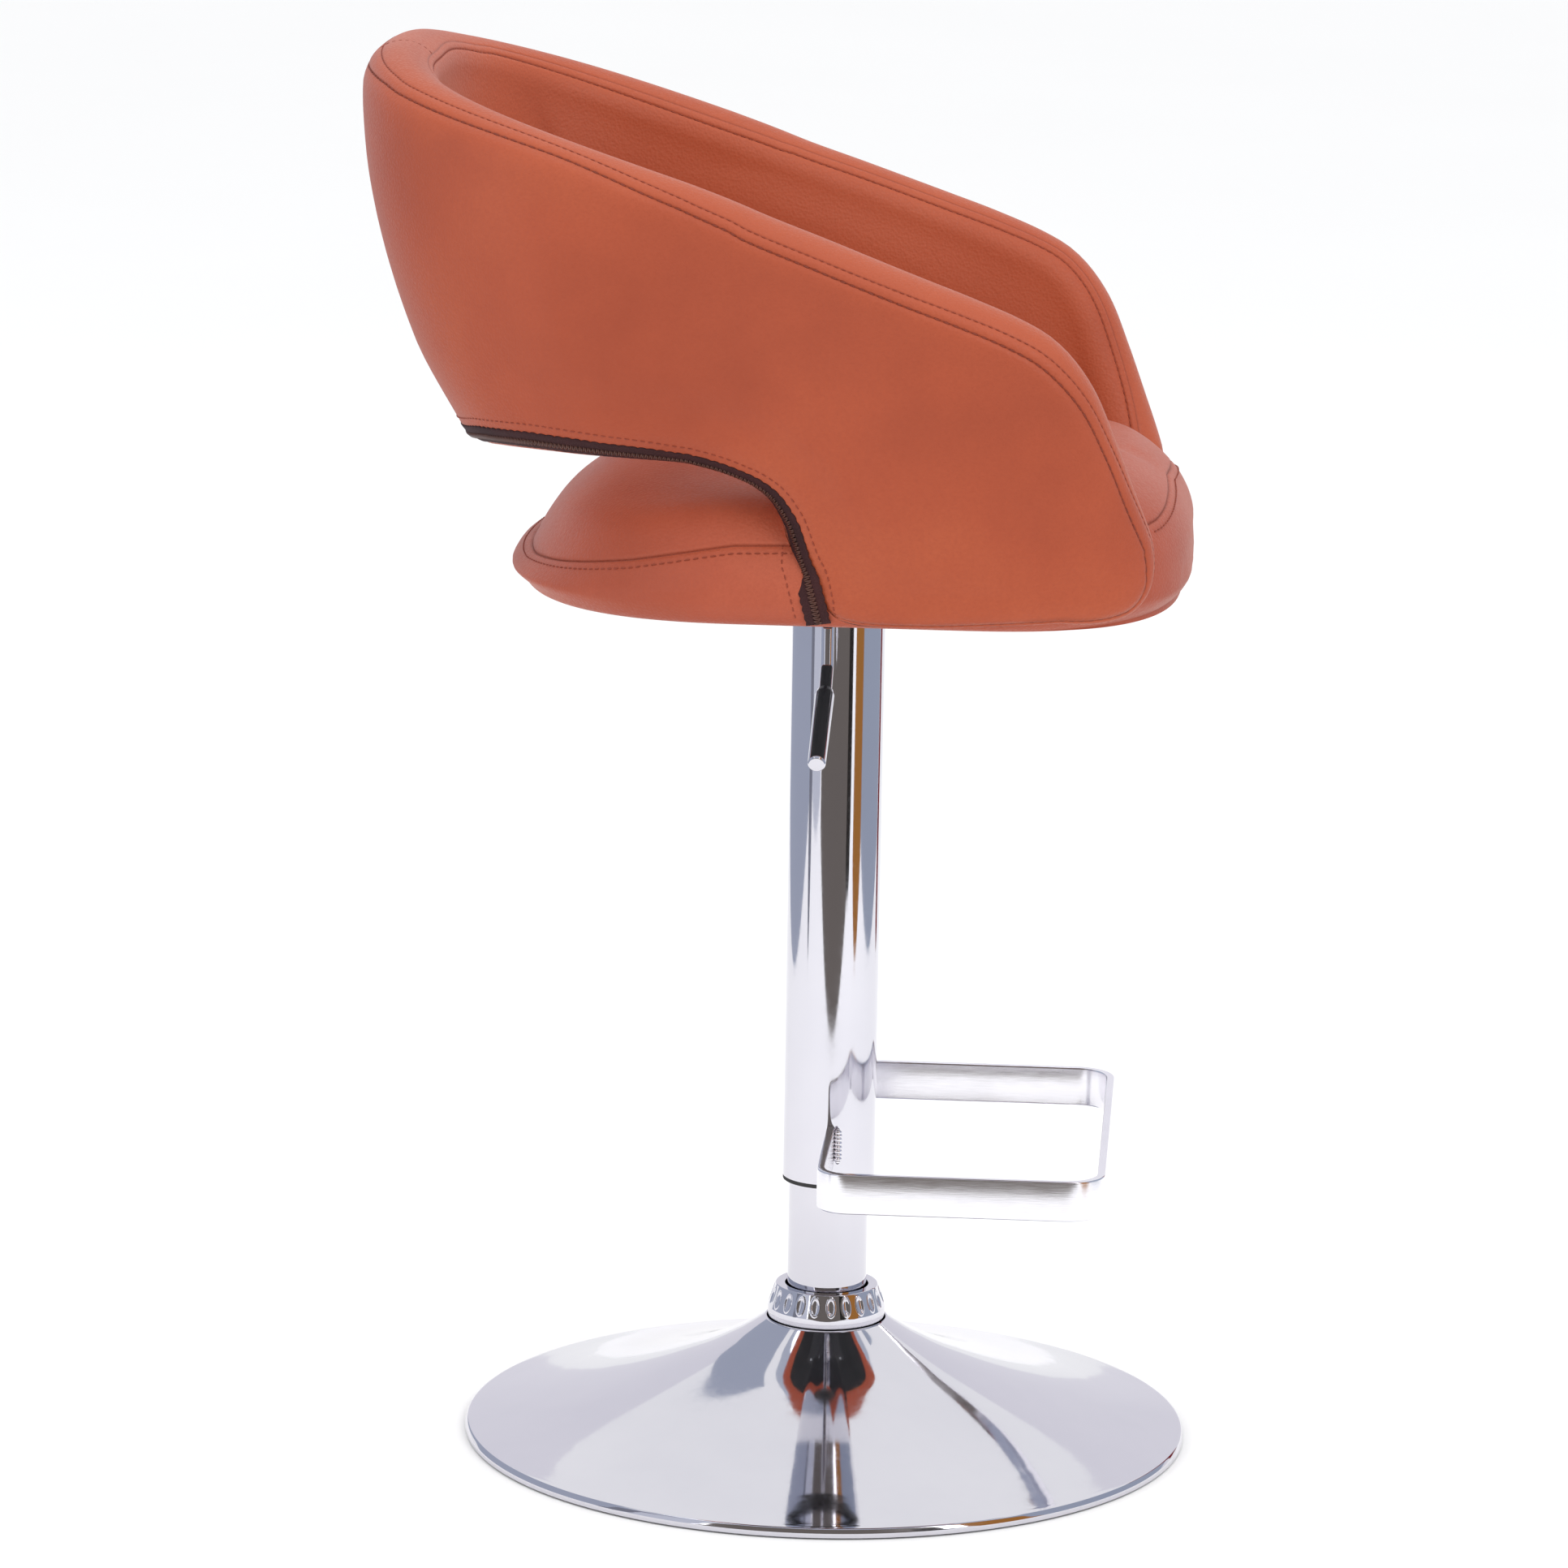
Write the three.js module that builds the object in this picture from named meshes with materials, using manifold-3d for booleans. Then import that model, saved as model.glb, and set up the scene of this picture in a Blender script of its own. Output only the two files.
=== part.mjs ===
// Height-adjustable swivel bar stool: a wrap-around padded bucket seat on a gas-lift column,
// with a flat-bar footrest and a round trumpet base.
// Millimetres, +Z up. The origin is on the column axis at floor level; the sitter faces -Y.
import * as THREE from "three";
import { mergeVertices } from "three/addons/utils/BufferGeometryUtils.js";
import Module from "manifold-3d";

const wasm = await Module();
wasm.setup();

// ---------- driving dimensions ----------
const GAP = 0.3; // clearance between touching pieces
const ROUND = 32; // sides of a turned piece
const SMALL_ROUND = 20; // sides of a small turned piece

const BASE_R = 228;
const BASE_TOP_Z = 75;
const BASE_SHEET = 1.5; // thickness of the spun sheet
const PAD_R = 222;
const PAD_T = 2.6;
const WEIGHT_R = 195;
const WEIGHT_T = 3.5;
const SOCKET_R = 31;
const SOCKET_TOP_Z = 70;

const COLLAR_TOP_Z = 96.5;
const COLLAR_TOP_R = 32;
const COLLAR_BOTTOM_R = 37;
const COLLAR_BAND_Z = 81.7; // top of the plain band under the cone
const COLLAR_HOLE_R = 26.2;

const COLUMN_R = 25;
const COLUMN_WALL = 2;
const COLUMN_BOTTOM_Z = PAD_T + WEIGHT_T + 2 * GAP;
const COLUMN_TOP_Z = 488;
const BUSH_LENGTH = 60;
const BEARING_Z = 40; // top of the plate that carries the swivel bearing
const BEARING_R = 13;

const CYLINDER_R = 14;
const CYLINDER_BOTTOM_Z = 130;
const CYLINDER_TOP_Z = 533;
const CYLINDER_BORE = 12.2;
const CYLINDER_CAP = 20; // thickness of the closed end round the release pin
const ROD_R = 5;
const PISTON_Z = 492;
const PISTON_T = 14;
const TAPER_SOCKET_R = 21;
const TAPER_SOCKET_Z = 498;

const COVER_R = 29;
const COVER_WALL = 1.6;
const COVER_BOTTOM_Z = 167.4;
const COVER_TOP_Z = 549.8;
const COVER_RING_BAND = 2.6; // how far the ring shows below the cover tube
const LEVER_NOTCH_Z = 536;

const FOOTREST_HALF_WIDTH = 144;
const FOOTREST_REACH = 176.5;
const FOOTREST_TOP_Z = 205.7;
const FOOTREST_BAR = [5, 25]; // thickness and height of the flat bar
const FOOTREST_FRONT_RADIUS = 20;
const FOOTREST_REAR_RADIUS = 15;

const PLATE_Z = 550.4;
const PLATE_T = 3.8;
const PLATE_SIZE = [146, 176];
const PLATE_BOLTS = [
  [-58, -70],
  [58, -70],
  [-58, 70],
  [58, 70],
];
const BOLT_R = 3;
const BOLT_HOLE_R = 3.4;
const TEE_NUT_R = 5;
const FRAME_BOLT_R = 4;
const FRAME_BOLT_HOLE_R = 4.4;
const COVER_SHEET_T = 0.8;
const BOARD_Z = PLATE_Z + PLATE_T + COVER_SHEET_T + 2 * GAP;
const BOARD_T = 12;
const BOARD_INSET = 12;
const DUST_COVER_INSET = 36;

const LEVER_Z = 544;
const LEVER_R = 4;
const LEVER_PIVOT_X = -45;
const LEVER_DROP_X = -114;
const GRIP_R = 5.6;
const GRIP_START = [-129, 503];
const GRIP_END = [-202.5, 473];
const GRIP_BORE_DEPTH = 22;
const PIVOT_PIN_R = 1.5;
const PIVOT_HOLE_R = 1.8;
const EAR_INNER_Y = 4.8;
const EAR_OUTER_Y = 7.3;
const RELEASE_PIN_R = 2.5;

// Seat outline: half-width, straight sides between two lines, rounded rear and front.
const SEAT_HALF_WIDTH = 205;
const SEAT_REAR_START = 40;
const SEAT_REAR_Y = 199;
const SEAT_REAR_POWER = 2.5;
const SEAT_FRONT_START = -80;
const SEAT_FRONT_Y = -224;
const SEAT_FRONT_POWER = 3;
const SEAT_BOTTOM_Z = 554;
const SEAT_WIDEST_Z = 566;
const SEAT_TOP_Z = 639;

// Shell (arms and back in one band): middle surface and half thickness.
const SHELL_HALF_T = 23;
const SHELL_BACK_Y = 270.5;
const SHELL_UPRIGHT_Z = 845; // the back leans in below this height
const SHELL_BACK_START = 90;
const SHELL_BACK_POWER = 2.8;
const SHELL_BACK_WIDTH = 181.5;
const SHELL_ARM_WIDTH = 200;
const SHELL_FRONT_START = -90;
const SHELL_FRONT_Y = -200;
const SHELL_FRONT_POWER = 4;
const BAND_SPANS = 6; // facets up each face of the band
const BAND_CAP_STEPS = 5; // facets round each padded edge
const FRAME_TUBE_R = 9.5;
const FRAME_TUBE_BORE = 8;
const FRAME_BEND_Z = 590; // where the frame's legs leave the vertical
const FRAME_STEPS = 36;
const ZIP_PROUD = 3.4; // distance of the zip's line from the shell's surface

const root = new THREE.Group();

// ---------- materials ----------
const FINISH = {
  chrome: [0xd8dadf, 0.08, 1],
  steel: [0x8f9296, 0.4, 1],
  black_steel: [0x1c1c1e, 0.5, 0.6],
  black_plastic: [0x141416, 0.45, 0],
  rubber: [0x18181a, 0.8, 0],
  nylon: [0xe8e4d8, 0.5, 0],
  plywood: [0xb98f5c, 0.75, 0],
  lining: [0x202022, 0.95, 0],
  leather: [0xc25a35, 0.5, 0],
  zipper: [0x3a1416, 0.6, 0],
};

function add(name, geometry, finish) {
  const [color, roughness, metalness] = FINISH[finish];
  const mesh = new THREE.Mesh(
    geometry,
    new THREE.MeshStandardMaterial({ color, roughness, metalness }),
  );
  mesh.name = name;
  root.add(mesh);
}

// ---------- solids ----------
function toSolid(geometry) {
  const bare = geometry.index ? geometry.toNonIndexed() : geometry.clone();
  bare.deleteAttribute("normal");
  bare.deleteAttribute("uv");
  const merged = mergeVertices(bare, 1e-4);
  return new wasm.Manifold(
    new wasm.Mesh({
      numProp: 3,
      vertProperties: merged.attributes.position.array,
      triVerts: new Uint32Array(merged.index.array),
    }),
  );
}

function toGeometry(solid) {
  const mesh = solid.getMesh();
  const geometry = new THREE.BufferGeometry();
  geometry.setAttribute("position", new THREE.BufferAttribute(mesh.vertProperties, 3));
  geometry.setIndex(new THREE.BufferAttribute(mesh.triVerts, 1));
  return geometry;
}

// Joins the first geometry with `added` and cuts `removed` from it.
function combine(first, added, removed) {
  let solid = toSolid(first);
  for (const geometry of added) solid = solid.add(toSolid(geometry));
  for (const geometry of removed) solid = solid.subtract(toSolid(geometry));
  return toGeometry(solid);
}

// A turned piece about Z from a closed [radius, z] outline.
function turned(outline, sides = ROUND) {
  const closed = [...outline, outline[0]].map(([r, z]) => new THREE.Vector2(r, z));
  if (THREE.ShapeUtils.area(closed.slice(0, -1)) < 0) closed.reverse();
  const geometry = new THREE.LatheGeometry(closed, sides);
  geometry.rotateX(Math.PI / 2);
  return geometry;
}

function ring(inner, outer, low, high, sides = ROUND) {
  return turned([[inner, low], [outer, low], [outer, high], [inner, high]], sides);
}

function disc(radius, low, high, sides = ROUND) {
  const geometry = new THREE.CylinderGeometry(radius, radius, high - low, sides);
  geometry.rotateX(Math.PI / 2);
  geometry.translate(0, 0, (low + high) / 2);
  return geometry;
}

function box(low, high) {
  const size = high.map((value, axis) => value - low[axis]);
  const geometry = new THREE.BoxGeometry(...size);
  geometry.translate(...low.map((value, axis) => value + size[axis] / 2));
  return geometry;
}

// A closed skin over loops of points with the same count; the ends are closed by fans.
function skin(loops) {
  const count = loops[0].length;
  const points = loops.flat();
  const index = [];
  for (let i = 0; i + 1 < loops.length; i++) {
    for (let j = 0; j < count; j++) {
      const a = i * count + j;
      const b = i * count + ((j + 1) % count);
      index.push(a, b, b + count, a, b + count, a + count);
    }
  }
  for (const [loop, start, turn] of [
    [loops[0], 0, 1],
    [loops.at(-1), (loops.length - 1) * count, -1],
  ]) {
    const centre = new THREE.Vector3();
    loop.forEach((point) => centre.addScaledVector(point, 1 / count));
    const hub = points.push(centre) - 1;
    for (let j = 0; j < count; j++) {
      const a = start + j;
      const b = start + ((j + 1) % count);
      index.push(hub, ...(turn > 0 ? [b, a] : [a, b]));
    }
  }
  const geometry = new THREE.BufferGeometry().setFromPoints(points);
  geometry.setIndex(index);
  return toSolid(geometry).volume() < 0 ? flipped(geometry) : geometry;
}

function flipped(geometry) {
  const index = Array.from(geometry.index.array);
  for (let i = 0; i < index.length; i += 3) {
    [index[i + 1], index[i + 2]] = [index[i + 2], index[i + 1]];
  }
  geometry.setIndex(index);
  return geometry;
}

// A round bar or pipe blank along a list of points.
function bar(points, radius, steps, sides = 10) {
  const section = new THREE.Shape();
  section.absarc(0, 0, radius, 0, 2 * Math.PI);
  return new THREE.ExtrudeGeometry(section, {
    steps,
    curveSegments: sides / 2,
    extrudePath: new THREE.CatmullRomCurve3(points.map((p) => new THREE.Vector3(...p))),
  });
}

// ---------- base ----------
// Outer profile of the trumpet base from the rolled rim up to the collar.
const BASE_PROFILE = [
  [BASE_R - 0.8, 0.9],
  [BASE_R, 4],
  [BASE_R - 1.6, 6.3],
  [BASE_R - 5.5, 7.3],
  [200, 11.3],
  [175, 16.9],
  [150, 23.4],
  [130, 29.4],
  [110, 36.1],
  [90, 43.6],
  [75, 50.3],
  [65, 55.6],
  [54, 62.4],
  [45, 68.8],
  [37.8, BASE_TOP_Z],
];

function baseDisc() {
  const inside = [4, 6, 8, 10, 12]
    .map((i) => BASE_PROFILE[i])
    .map(([r, z]) => [r - BASE_SHEET, z - BASE_SHEET]);
  const rimInside = [
    [BASE_R - 3, 0.9],
    [BASE_R - 3, 4],
  ];
  const neckInside = [BASE_PROFILE.at(-1)[0] - 2 * BASE_SHEET, BASE_TOP_Z];
  return turned([...BASE_PROFILE, neckInside, ...inside.reverse(), ...rimInside.reverse()], 48);
}

function makeBase() {
  const weightZ = PAD_T + GAP;
  add("floor_pad", disc(PAD_R, 0, PAD_T, 56), "rubber");
  add("base_weight", ring(18, WEIGHT_R, weightZ, weightZ + WEIGHT_T, 56), "steel");
  add("base_disc", baseDisc(), "chrome");
  const socketBottom = weightZ + WEIGHT_T + GAP;
  add(
    "base_socket",
    ring(COLUMN_R + GAP, SOCKET_R, socketBottom, SOCKET_TOP_Z),
    "black_steel",
  );
  add("collar", collar(), "chrome");
  add(
    "lower_tube",
    ring(COLUMN_R - COLUMN_WALL, COLUMN_R, COLUMN_BOTTOM_Z + 1, COLUMN_TOP_Z, 48),
    "chrome",
  );
  const bore = COLUMN_R - COLUMN_WALL - GAP;
  const flangeR = COLUMN_R - 0.4;
  const flangeZ = COLUMN_TOP_Z + GAP;
  add(
    "guide_bush",
    turned([
      [CYLINDER_R + GAP, COLUMN_TOP_Z - BUSH_LENGTH],
      [bore, COLUMN_TOP_Z - BUSH_LENGTH],
      [bore, flangeZ],
      [flangeR, flangeZ],
      [flangeR, flangeZ + 2.7],
      [CYLINDER_R + GAP, flangeZ + 2.7],
    ]),
    "nylon",
  );
  add("tube_end_plate", ring(ROD_R + 1, bore, BEARING_Z - 4, BEARING_Z), "steel");
  add(
    "bearing_washer_lower",
    ring(ROD_R + 1, BEARING_R, BEARING_Z + GAP, BEARING_Z + 2, SMALL_ROUND),
    "steel",
  );
}

// Trim ring over the joint between the column and the base: a cone above a plain band.
function collar() {
  return turned(
    [
      [COLLAR_HOLE_R, BASE_TOP_Z + GAP],
      [COLLAR_BOTTOM_R, BASE_TOP_Z + GAP],
      [COLLAR_BOTTOM_R, COLLAR_BAND_Z],
      [COLLAR_BOTTOM_R - 0.8, COLLAR_BAND_Z + 0.4],
      [COLLAR_TOP_R, COLLAR_TOP_Z - 0.6],
      [COLLAR_TOP_R - 1, COLLAR_TOP_Z],
      [COLLAR_HOLE_R, COLLAR_TOP_Z],
    ],
    48,
  );
}

// ---------- swivelling piston rod ----------
function makeSpindle() {
  const cageZ = BEARING_Z + 2 + GAP;
  const washerZ = cageZ + 3.7 + GAP;
  const rubberZ = washerZ + 2 + GAP;
  const clipTop = BEARING_Z - 4.5;
  const washer = (inner, low, high) => ring(inner, BEARING_R, low, high, SMALL_ROUND);
  add("bearing_cage", washer(ROD_R + 1, cageZ, washerZ - GAP), "steel");
  add("bearing_washer_upper", washer(ROD_R + GAP, washerZ, washerZ + 2), "steel");
  add("bump_rubber", ring(ROD_R + GAP, BEARING_R - 2, rubberZ, rubberZ + 14, SMALL_ROUND), "rubber");
  add("piston_rod", disc(ROD_R, BEARING_Z - 14, PISTON_Z - GAP, SMALL_ROUND), "chrome");
  add("rod_clip", ring(ROD_R + GAP, BEARING_R - 2, clipTop - 2, clipTop, SMALL_ROUND), "steel");
  const piston = disc(CYLINDER_BORE - GAP, PISTON_Z, PISTON_Z + PISTON_T, SMALL_ROUND);
  add("piston", piston, "black_plastic");
}

// ---------- lifting column parts ----------
function makeLift() {
  const pinHole = disc(RELEASE_PIN_R + GAP, CYLINDER_TOP_Z - 13, CYLINDER_TOP_Z + 1, 16);
  const capZ = CYLINDER_TOP_Z - CYLINDER_CAP;
  const cylinder = turned([
    [CYLINDER_BORE, CYLINDER_BOTTOM_Z],
    [CYLINDER_R, CYLINDER_BOTTOM_Z],
    [CYLINDER_R, capZ - 6],
    [CYLINDER_R - 0.8, CYLINDER_TOP_Z],
    [0, CYLINDER_TOP_Z],
    [0, capZ],
    [CYLINDER_BORE, capZ],
  ]);
  add("gas_cylinder", combine(cylinder, [], [pinHole]), "black_steel");
  add(
    "cylinder_gland",
    ring(ROD_R + GAP, CYLINDER_BORE - GAP, CYLINDER_BOTTOM_Z + 1, CYLINDER_BOTTOM_Z + 24),
    "nylon",
  );
  const bore = COVER_R - COVER_WALL;
  const leverNotch = box([-COVER_R - 3, -6, LEVER_NOTCH_Z], [-COVER_R + 6, 6, COVER_TOP_Z + 1]);
  add(
    "cover_tube",
    combine(ring(bore, COVER_R, COVER_BOTTOM_Z, COVER_TOP_Z, 48), [], [leverNotch]),
    "chrome",
  );
  const ringBottom = COVER_BOTTOM_Z - COVER_RING_BAND;
  const sleeveTop = COVER_BOTTOM_Z + 30;
  add(
    "cover_ring",
    turned(
      [
        [COLUMN_R + GAP, ringBottom],
        [COVER_R - 0.2, ringBottom],
        [COVER_R - 0.2, COVER_BOTTOM_Z - GAP],
        [bore - GAP, COVER_BOTTOM_Z - GAP],
        [bore - GAP, sleeveTop],
        [COLUMN_R + GAP, sleeveTop],
      ],
      48,
    ),
    "black_plastic",
  );
  makeFootrest();
}

// One flat bar bent into a loop ahead of the column, both ends butted against the cover tube.
function makeFootrest() {
  const [thickness, height] = FOOTREST_BAR;
  const half = FOOTREST_HALF_WIDTH;
  const front = -FOOTREST_REACH;
  const path = (inset) => {
    const outline = [];
    const frontR = FOOTREST_FRONT_RADIUS - inset;
    const rearR = FOOTREST_REAR_RADIUS - inset;
    arc(outline, half - FOOTREST_REAR_RADIUS, -FOOTREST_REAR_RADIUS, rearR, 90, 0);
    arc(outline, half - FOOTREST_FRONT_RADIUS, front + FOOTREST_FRONT_RADIUS, frontR, 0, -90);
    arc(outline, -half + FOOTREST_FRONT_RADIUS, front + FOOTREST_FRONT_RADIUS, frontR, -90, -180);
    arc(outline, -half + FOOTREST_REAR_RADIUS, -FOOTREST_REAR_RADIUS, rearR, 180, 90);
    return outline;
  };
  const tubeSide = COVER_R + GAP;
  const weldR = 2.6;
  const outer = [[tubeSide, 0], ...path(0), [-tubeSide, 0]];
  const inner = [[tubeSide, -thickness], ...path(thickness), [-tubeSide, -thickness]];
  const shape = new THREE.Shape([...outer, ...inner.reverse()].map((p) => new THREE.Vector2(...p)));
  const loop = new THREE.ExtrudeGeometry(shape, { depth: height, bevelEnabled: false });
  loop.translate(0, 0, FOOTREST_TOP_Z - height);
  add("footrest_loop", loop, "chrome");
  for (const [side, name] of [[-1, "right"], [1, "left"]]) {
    const bead = new THREE.CylinderGeometry(weldR, weldR, height - 4, 10);
    bead.rotateX(Math.PI / 2);
    const clear = weldR + GAP;
    bead.translate(side * (COVER_R + clear), -thickness - clear, FOOTREST_TOP_Z - height / 2);
    add("footrest_weld_" + name, bead, "chrome");
  }
}

// Adds an arc of a rounded corner, in degrees, to an outline.
function arc(outline, x, y, radius, from, to, steps = 6) {
  for (let i = 0; i <= steps; i++) {
    const angle = THREE.MathUtils.degToRad(from + ((to - from) * i) / steps);
    outline.push([x + radius * Math.cos(angle), y + radius * Math.sin(angle)]);
  }
}

// ---------- seat structure ----------
// A power curve's quarter: 1 at t = 0, 0 at t = 1.
function quarter(t, power) {
  return Math.pow(Math.max(0, 1 - Math.pow(Math.min(1, Math.abs(t)), power)), 1 / power);
}

// Closed seat outline at an inset from the full outline.
function seatOutline(inset, count) {
  const points = [];
  const half = SEAT_HALF_WIDTH - inset;
  for (let i = 0; i < count; i++) {
    const angle = (2 * Math.PI * i) / count;
    const s = Math.sin(angle);
    const c = Math.cos(angle);
    const power = c > 0 ? SEAT_REAR_POWER : SEAT_FRONT_POWER;
    const start = c > 0 ? SEAT_REAR_START : SEAT_FRONT_START;
    const end = c > 0 ? SEAT_REAR_Y : SEAT_FRONT_Y;
    const reach = Math.abs(end - start) - inset;
    const x = half * Math.sign(s) * Math.pow(Math.abs(s), 2 / power);
    const y = start + reach * Math.sign(c) * Math.pow(Math.abs(c), 2 / power);
    points.push([x, y]);
  }
  return points;
}

function plank(outline, low, high) {
  const shape = new THREE.Shape(outline.map((p) => new THREE.Vector2(...p)));
  const geometry = new THREE.ExtrudeGeometry(shape, { depth: high - low, bevelEnabled: false });
  geometry.translate(0, 0, low);
  return geometry;
}

function shifted(geometry, x, y, z = 0) {
  geometry.translate(x, y, z);
  return geometry;
}

function makeSeatStructure() {
  const [width, length] = PLATE_SIZE;
  const frameBolts = [-1, 1].map((side) => [side * frameFoot().x, frameFoot().y]);
  const holes = (places, radius, low, high) =>
    places.map(([x, y]) => shifted(disc(radius, low - 1, high + 1, 16), x, y));
  const plateTop = PLATE_Z + PLATE_T;
  const plate = box([-width / 2, -length / 2, PLATE_Z], [width / 2, length / 2, plateTop]);
  const plateHoles = holes(PLATE_BOLTS, BOLT_HOLE_R, PLATE_Z, plateTop);
  add("seat_plate", combine(plate, [], plateHoles), "black_steel");

  const sheetZ = plateTop + GAP;
  const sheetTop = sheetZ + COVER_SHEET_T;
  const sheet = plank(seatOutline(DUST_COVER_INSET, 40), sheetZ, sheetTop);
  const sheetHoles = holes(PLATE_BOLTS, BOLT_HOLE_R, sheetZ, sheetTop);
  add("dust_cover", combine(sheet, [], sheetHoles), "lining");

  const boardTop = BOARD_Z + BOARD_T;
  const board = plank(seatOutline(BOARD_INSET, 40), BOARD_Z, boardTop);
  const boardHoles = [
    ...holes(PLATE_BOLTS, TEE_NUT_R + 0.4, BOARD_Z, boardTop),
    ...holes(frameBolts, FRAME_BOLT_HOLE_R, BOARD_Z, boardTop),
  ];
  add("seat_board", combine(board, [], boardHoles), "plywood");
  PLATE_BOLTS.forEach(([x, y], i) => {
    const head = disc(BOLT_R + 2, PLATE_Z - 4.2, PLATE_Z - GAP, 6);
    const shank = disc(BOLT_R, PLATE_Z - 1, boardTop - 4, 12);
    add("plate_bolt_" + (i + 1), shifted(combine(head, [shank], []), x, y), "steel");
    const nut = ring(BOLT_HOLE_R, TEE_NUT_R, BOARD_Z + GAP, boardTop - 1, 12);
    add("tee_nut_" + (i + 1), shifted(nut, x, y), "steel");
  });
  frameBolts.forEach(([x, y], i) => {
    const head = disc(FRAME_BOLT_R + 3, BOARD_Z - 3.2, BOARD_Z - GAP, 12);
    const shank = disc(FRAME_BOLT_R, BOARD_Z - 1, boardTop + 16, 12);
    const name = "frame_bolt_" + ["right", "left"][i];
    add(name, shifted(combine(head, [shank], []), x, y), "steel");
  });

  const socket = ring(CYLINDER_R + GAP, TAPER_SOCKET_R, TAPER_SOCKET_Z, PLATE_Z - GAP);
  const slot = box([-TAPER_SOCKET_R - 1, -6, CYLINDER_TOP_Z + 2], [-5, 6, PLATE_Z]);
  add("taper_socket", combine(socket, [], [slot]), "black_steel");
}

// ---------- height lever ----------
function makeLever() {
  const rod = bar(
    [
      [4, 0, LEVER_Z],
      [LEVER_PIVOT_X, 0, LEVER_Z],
      [LEVER_DROP_X + 22, 0, LEVER_Z],
      [LEVER_DROP_X + 5, 0, LEVER_Z - 5],
      [LEVER_DROP_X, 0, LEVER_Z - 18],
      [LEVER_DROP_X - 1, 0, LEVER_Z - 28],
      [LEVER_DROP_X - 7, 0, LEVER_Z - 37],
      [GRIP_START[0], 0, GRIP_START[1] + 0.6],
      [GRIP_START[0] - 14, 0, GRIP_START[1] - 5.5],
    ],
    LEVER_R,
    28,
    8,
  );
  add("lever_rod", combine(rod, [], [crossPin(PIVOT_HOLE_R, 20)]), "chrome");

  const length = Math.hypot(GRIP_END[0] - GRIP_START[0], GRIP_END[1] - GRIP_START[1]);
  const gripBore = LEVER_R + 2 * GAP;
  const grip = turned(
    [
      [gripBore, 0],
      [GRIP_R - 0.4, 0],
      [GRIP_R, 1.5],
      [GRIP_R, length - 3],
      [GRIP_R - 2, length - 0.6],
      [0, length],
      [0, GRIP_BORE_DEPTH],
      [gripBore, GRIP_BORE_DEPTH],
    ],
    SMALL_ROUND,
  );
  const direction = new THREE.Vector3(
    GRIP_END[0] - GRIP_START[0],
    0,
    GRIP_END[1] - GRIP_START[1],
  ).normalize();
  const turn = new THREE.Quaternion().setFromUnitVectors(new THREE.Vector3(0, 0, 1), direction);
  grip.applyQuaternion(turn);
  grip.translate(GRIP_START[0], 0, GRIP_START[1]);
  add("lever_grip", grip, "chrome");

  add("lever_pivot_pin", crossPin(PIVOT_PIN_R, 19), "steel");

  // Two ears hang from a small saddle that is welded under the seat plate.
  const saddleZ = PLATE_Z - GAP;
  const left = LEVER_PIVOT_X - 5;
  const right = LEVER_PIVOT_X + 5;
  const saddle = box([left, -EAR_OUTER_Y, saddleZ - 1.2], [right, EAR_OUTER_Y, saddleZ]);
  const ears = [
    box([left, EAR_INNER_Y, LEVER_Z - 5], [right, EAR_OUTER_Y, saddleZ]),
    box([left, -EAR_OUTER_Y, LEVER_Z - 5], [right, -EAR_INNER_Y, saddleZ]),
  ];
  add("lever_bracket", combine(saddle, ears, [crossPin(PIVOT_HOLE_R, 20)]), "black_steel");

  const pinTop = LEVER_Z - LEVER_R - GAP;
  add("release_pin", disc(RELEASE_PIN_R, CYLINDER_TOP_Z - 9.4, pinTop, 16), "steel");
}

// A round pin across the lever at its pivot.
function crossPin(radius, length) {
  const pin = new THREE.CylinderGeometry(radius, radius, length, 12);
  pin.translate(LEVER_PIVOT_X, 0, LEVER_Z);
  return pin;
}

// ---------- upholstery ----------
// Y of the shell's middle surface at the centre of the back, by height.
function backY(z) {
  const drop = Math.max(0, SHELL_UPRIGHT_Z - z);
  return SHELL_BACK_Y - 0.0623 * drop - 0.001283 * drop * drop;
}

// Half-width of the shell's middle surface ahead of the rounded back.
function shellHalfWidth(y) {
  if (y < SHELL_FRONT_START) {
    const t = (SHELL_FRONT_START - y) / (SHELL_FRONT_START - SHELL_FRONT_Y);
    return SHELL_ARM_WIDTH * quarter(t, SHELL_FRONT_POWER);
  }
  const t = (SHELL_BACK_START - y) / (SHELL_BACK_START - SHELL_FRONT_START);
  const blend = t * t * (3 - 2 * t);
  return SHELL_BACK_WIDTH + (SHELL_ARM_WIDTH - SHELL_BACK_WIDTH) * blend;
}

// A point of the middle surface. `along` is 0 at the centre of the back, 1 where the rounded
// back ends, and above 1 it goes forward along the arm, 100 mm for each 1.
function shellPoint(along, z) {
  const lean = 1 - 0.05 * THREE.MathUtils.clamp((780 - z) / 200, 0, 1); // arms splay upwards
  if (along >= 1) {
    const y = SHELL_BACK_START - (along - 1) * 100;
    return new THREE.Vector3(shellHalfWidth(y) * lean, y, z);
  }
  const angle = (along * Math.PI) / 2;
  const power = 2 / SHELL_BACK_POWER;
  const reach = backY(z) - SHELL_BACK_START;
  return new THREE.Vector3(
    SHELL_BACK_WIDTH * lean * Math.sign(angle) * Math.pow(Math.abs(Math.sin(angle)), power),
    SHELL_BACK_START + reach * Math.pow(Math.cos(angle), power),
    z,
  );
}

const armAlong = (y) => 1 + (SHELL_BACK_START - y) / 100;

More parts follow.
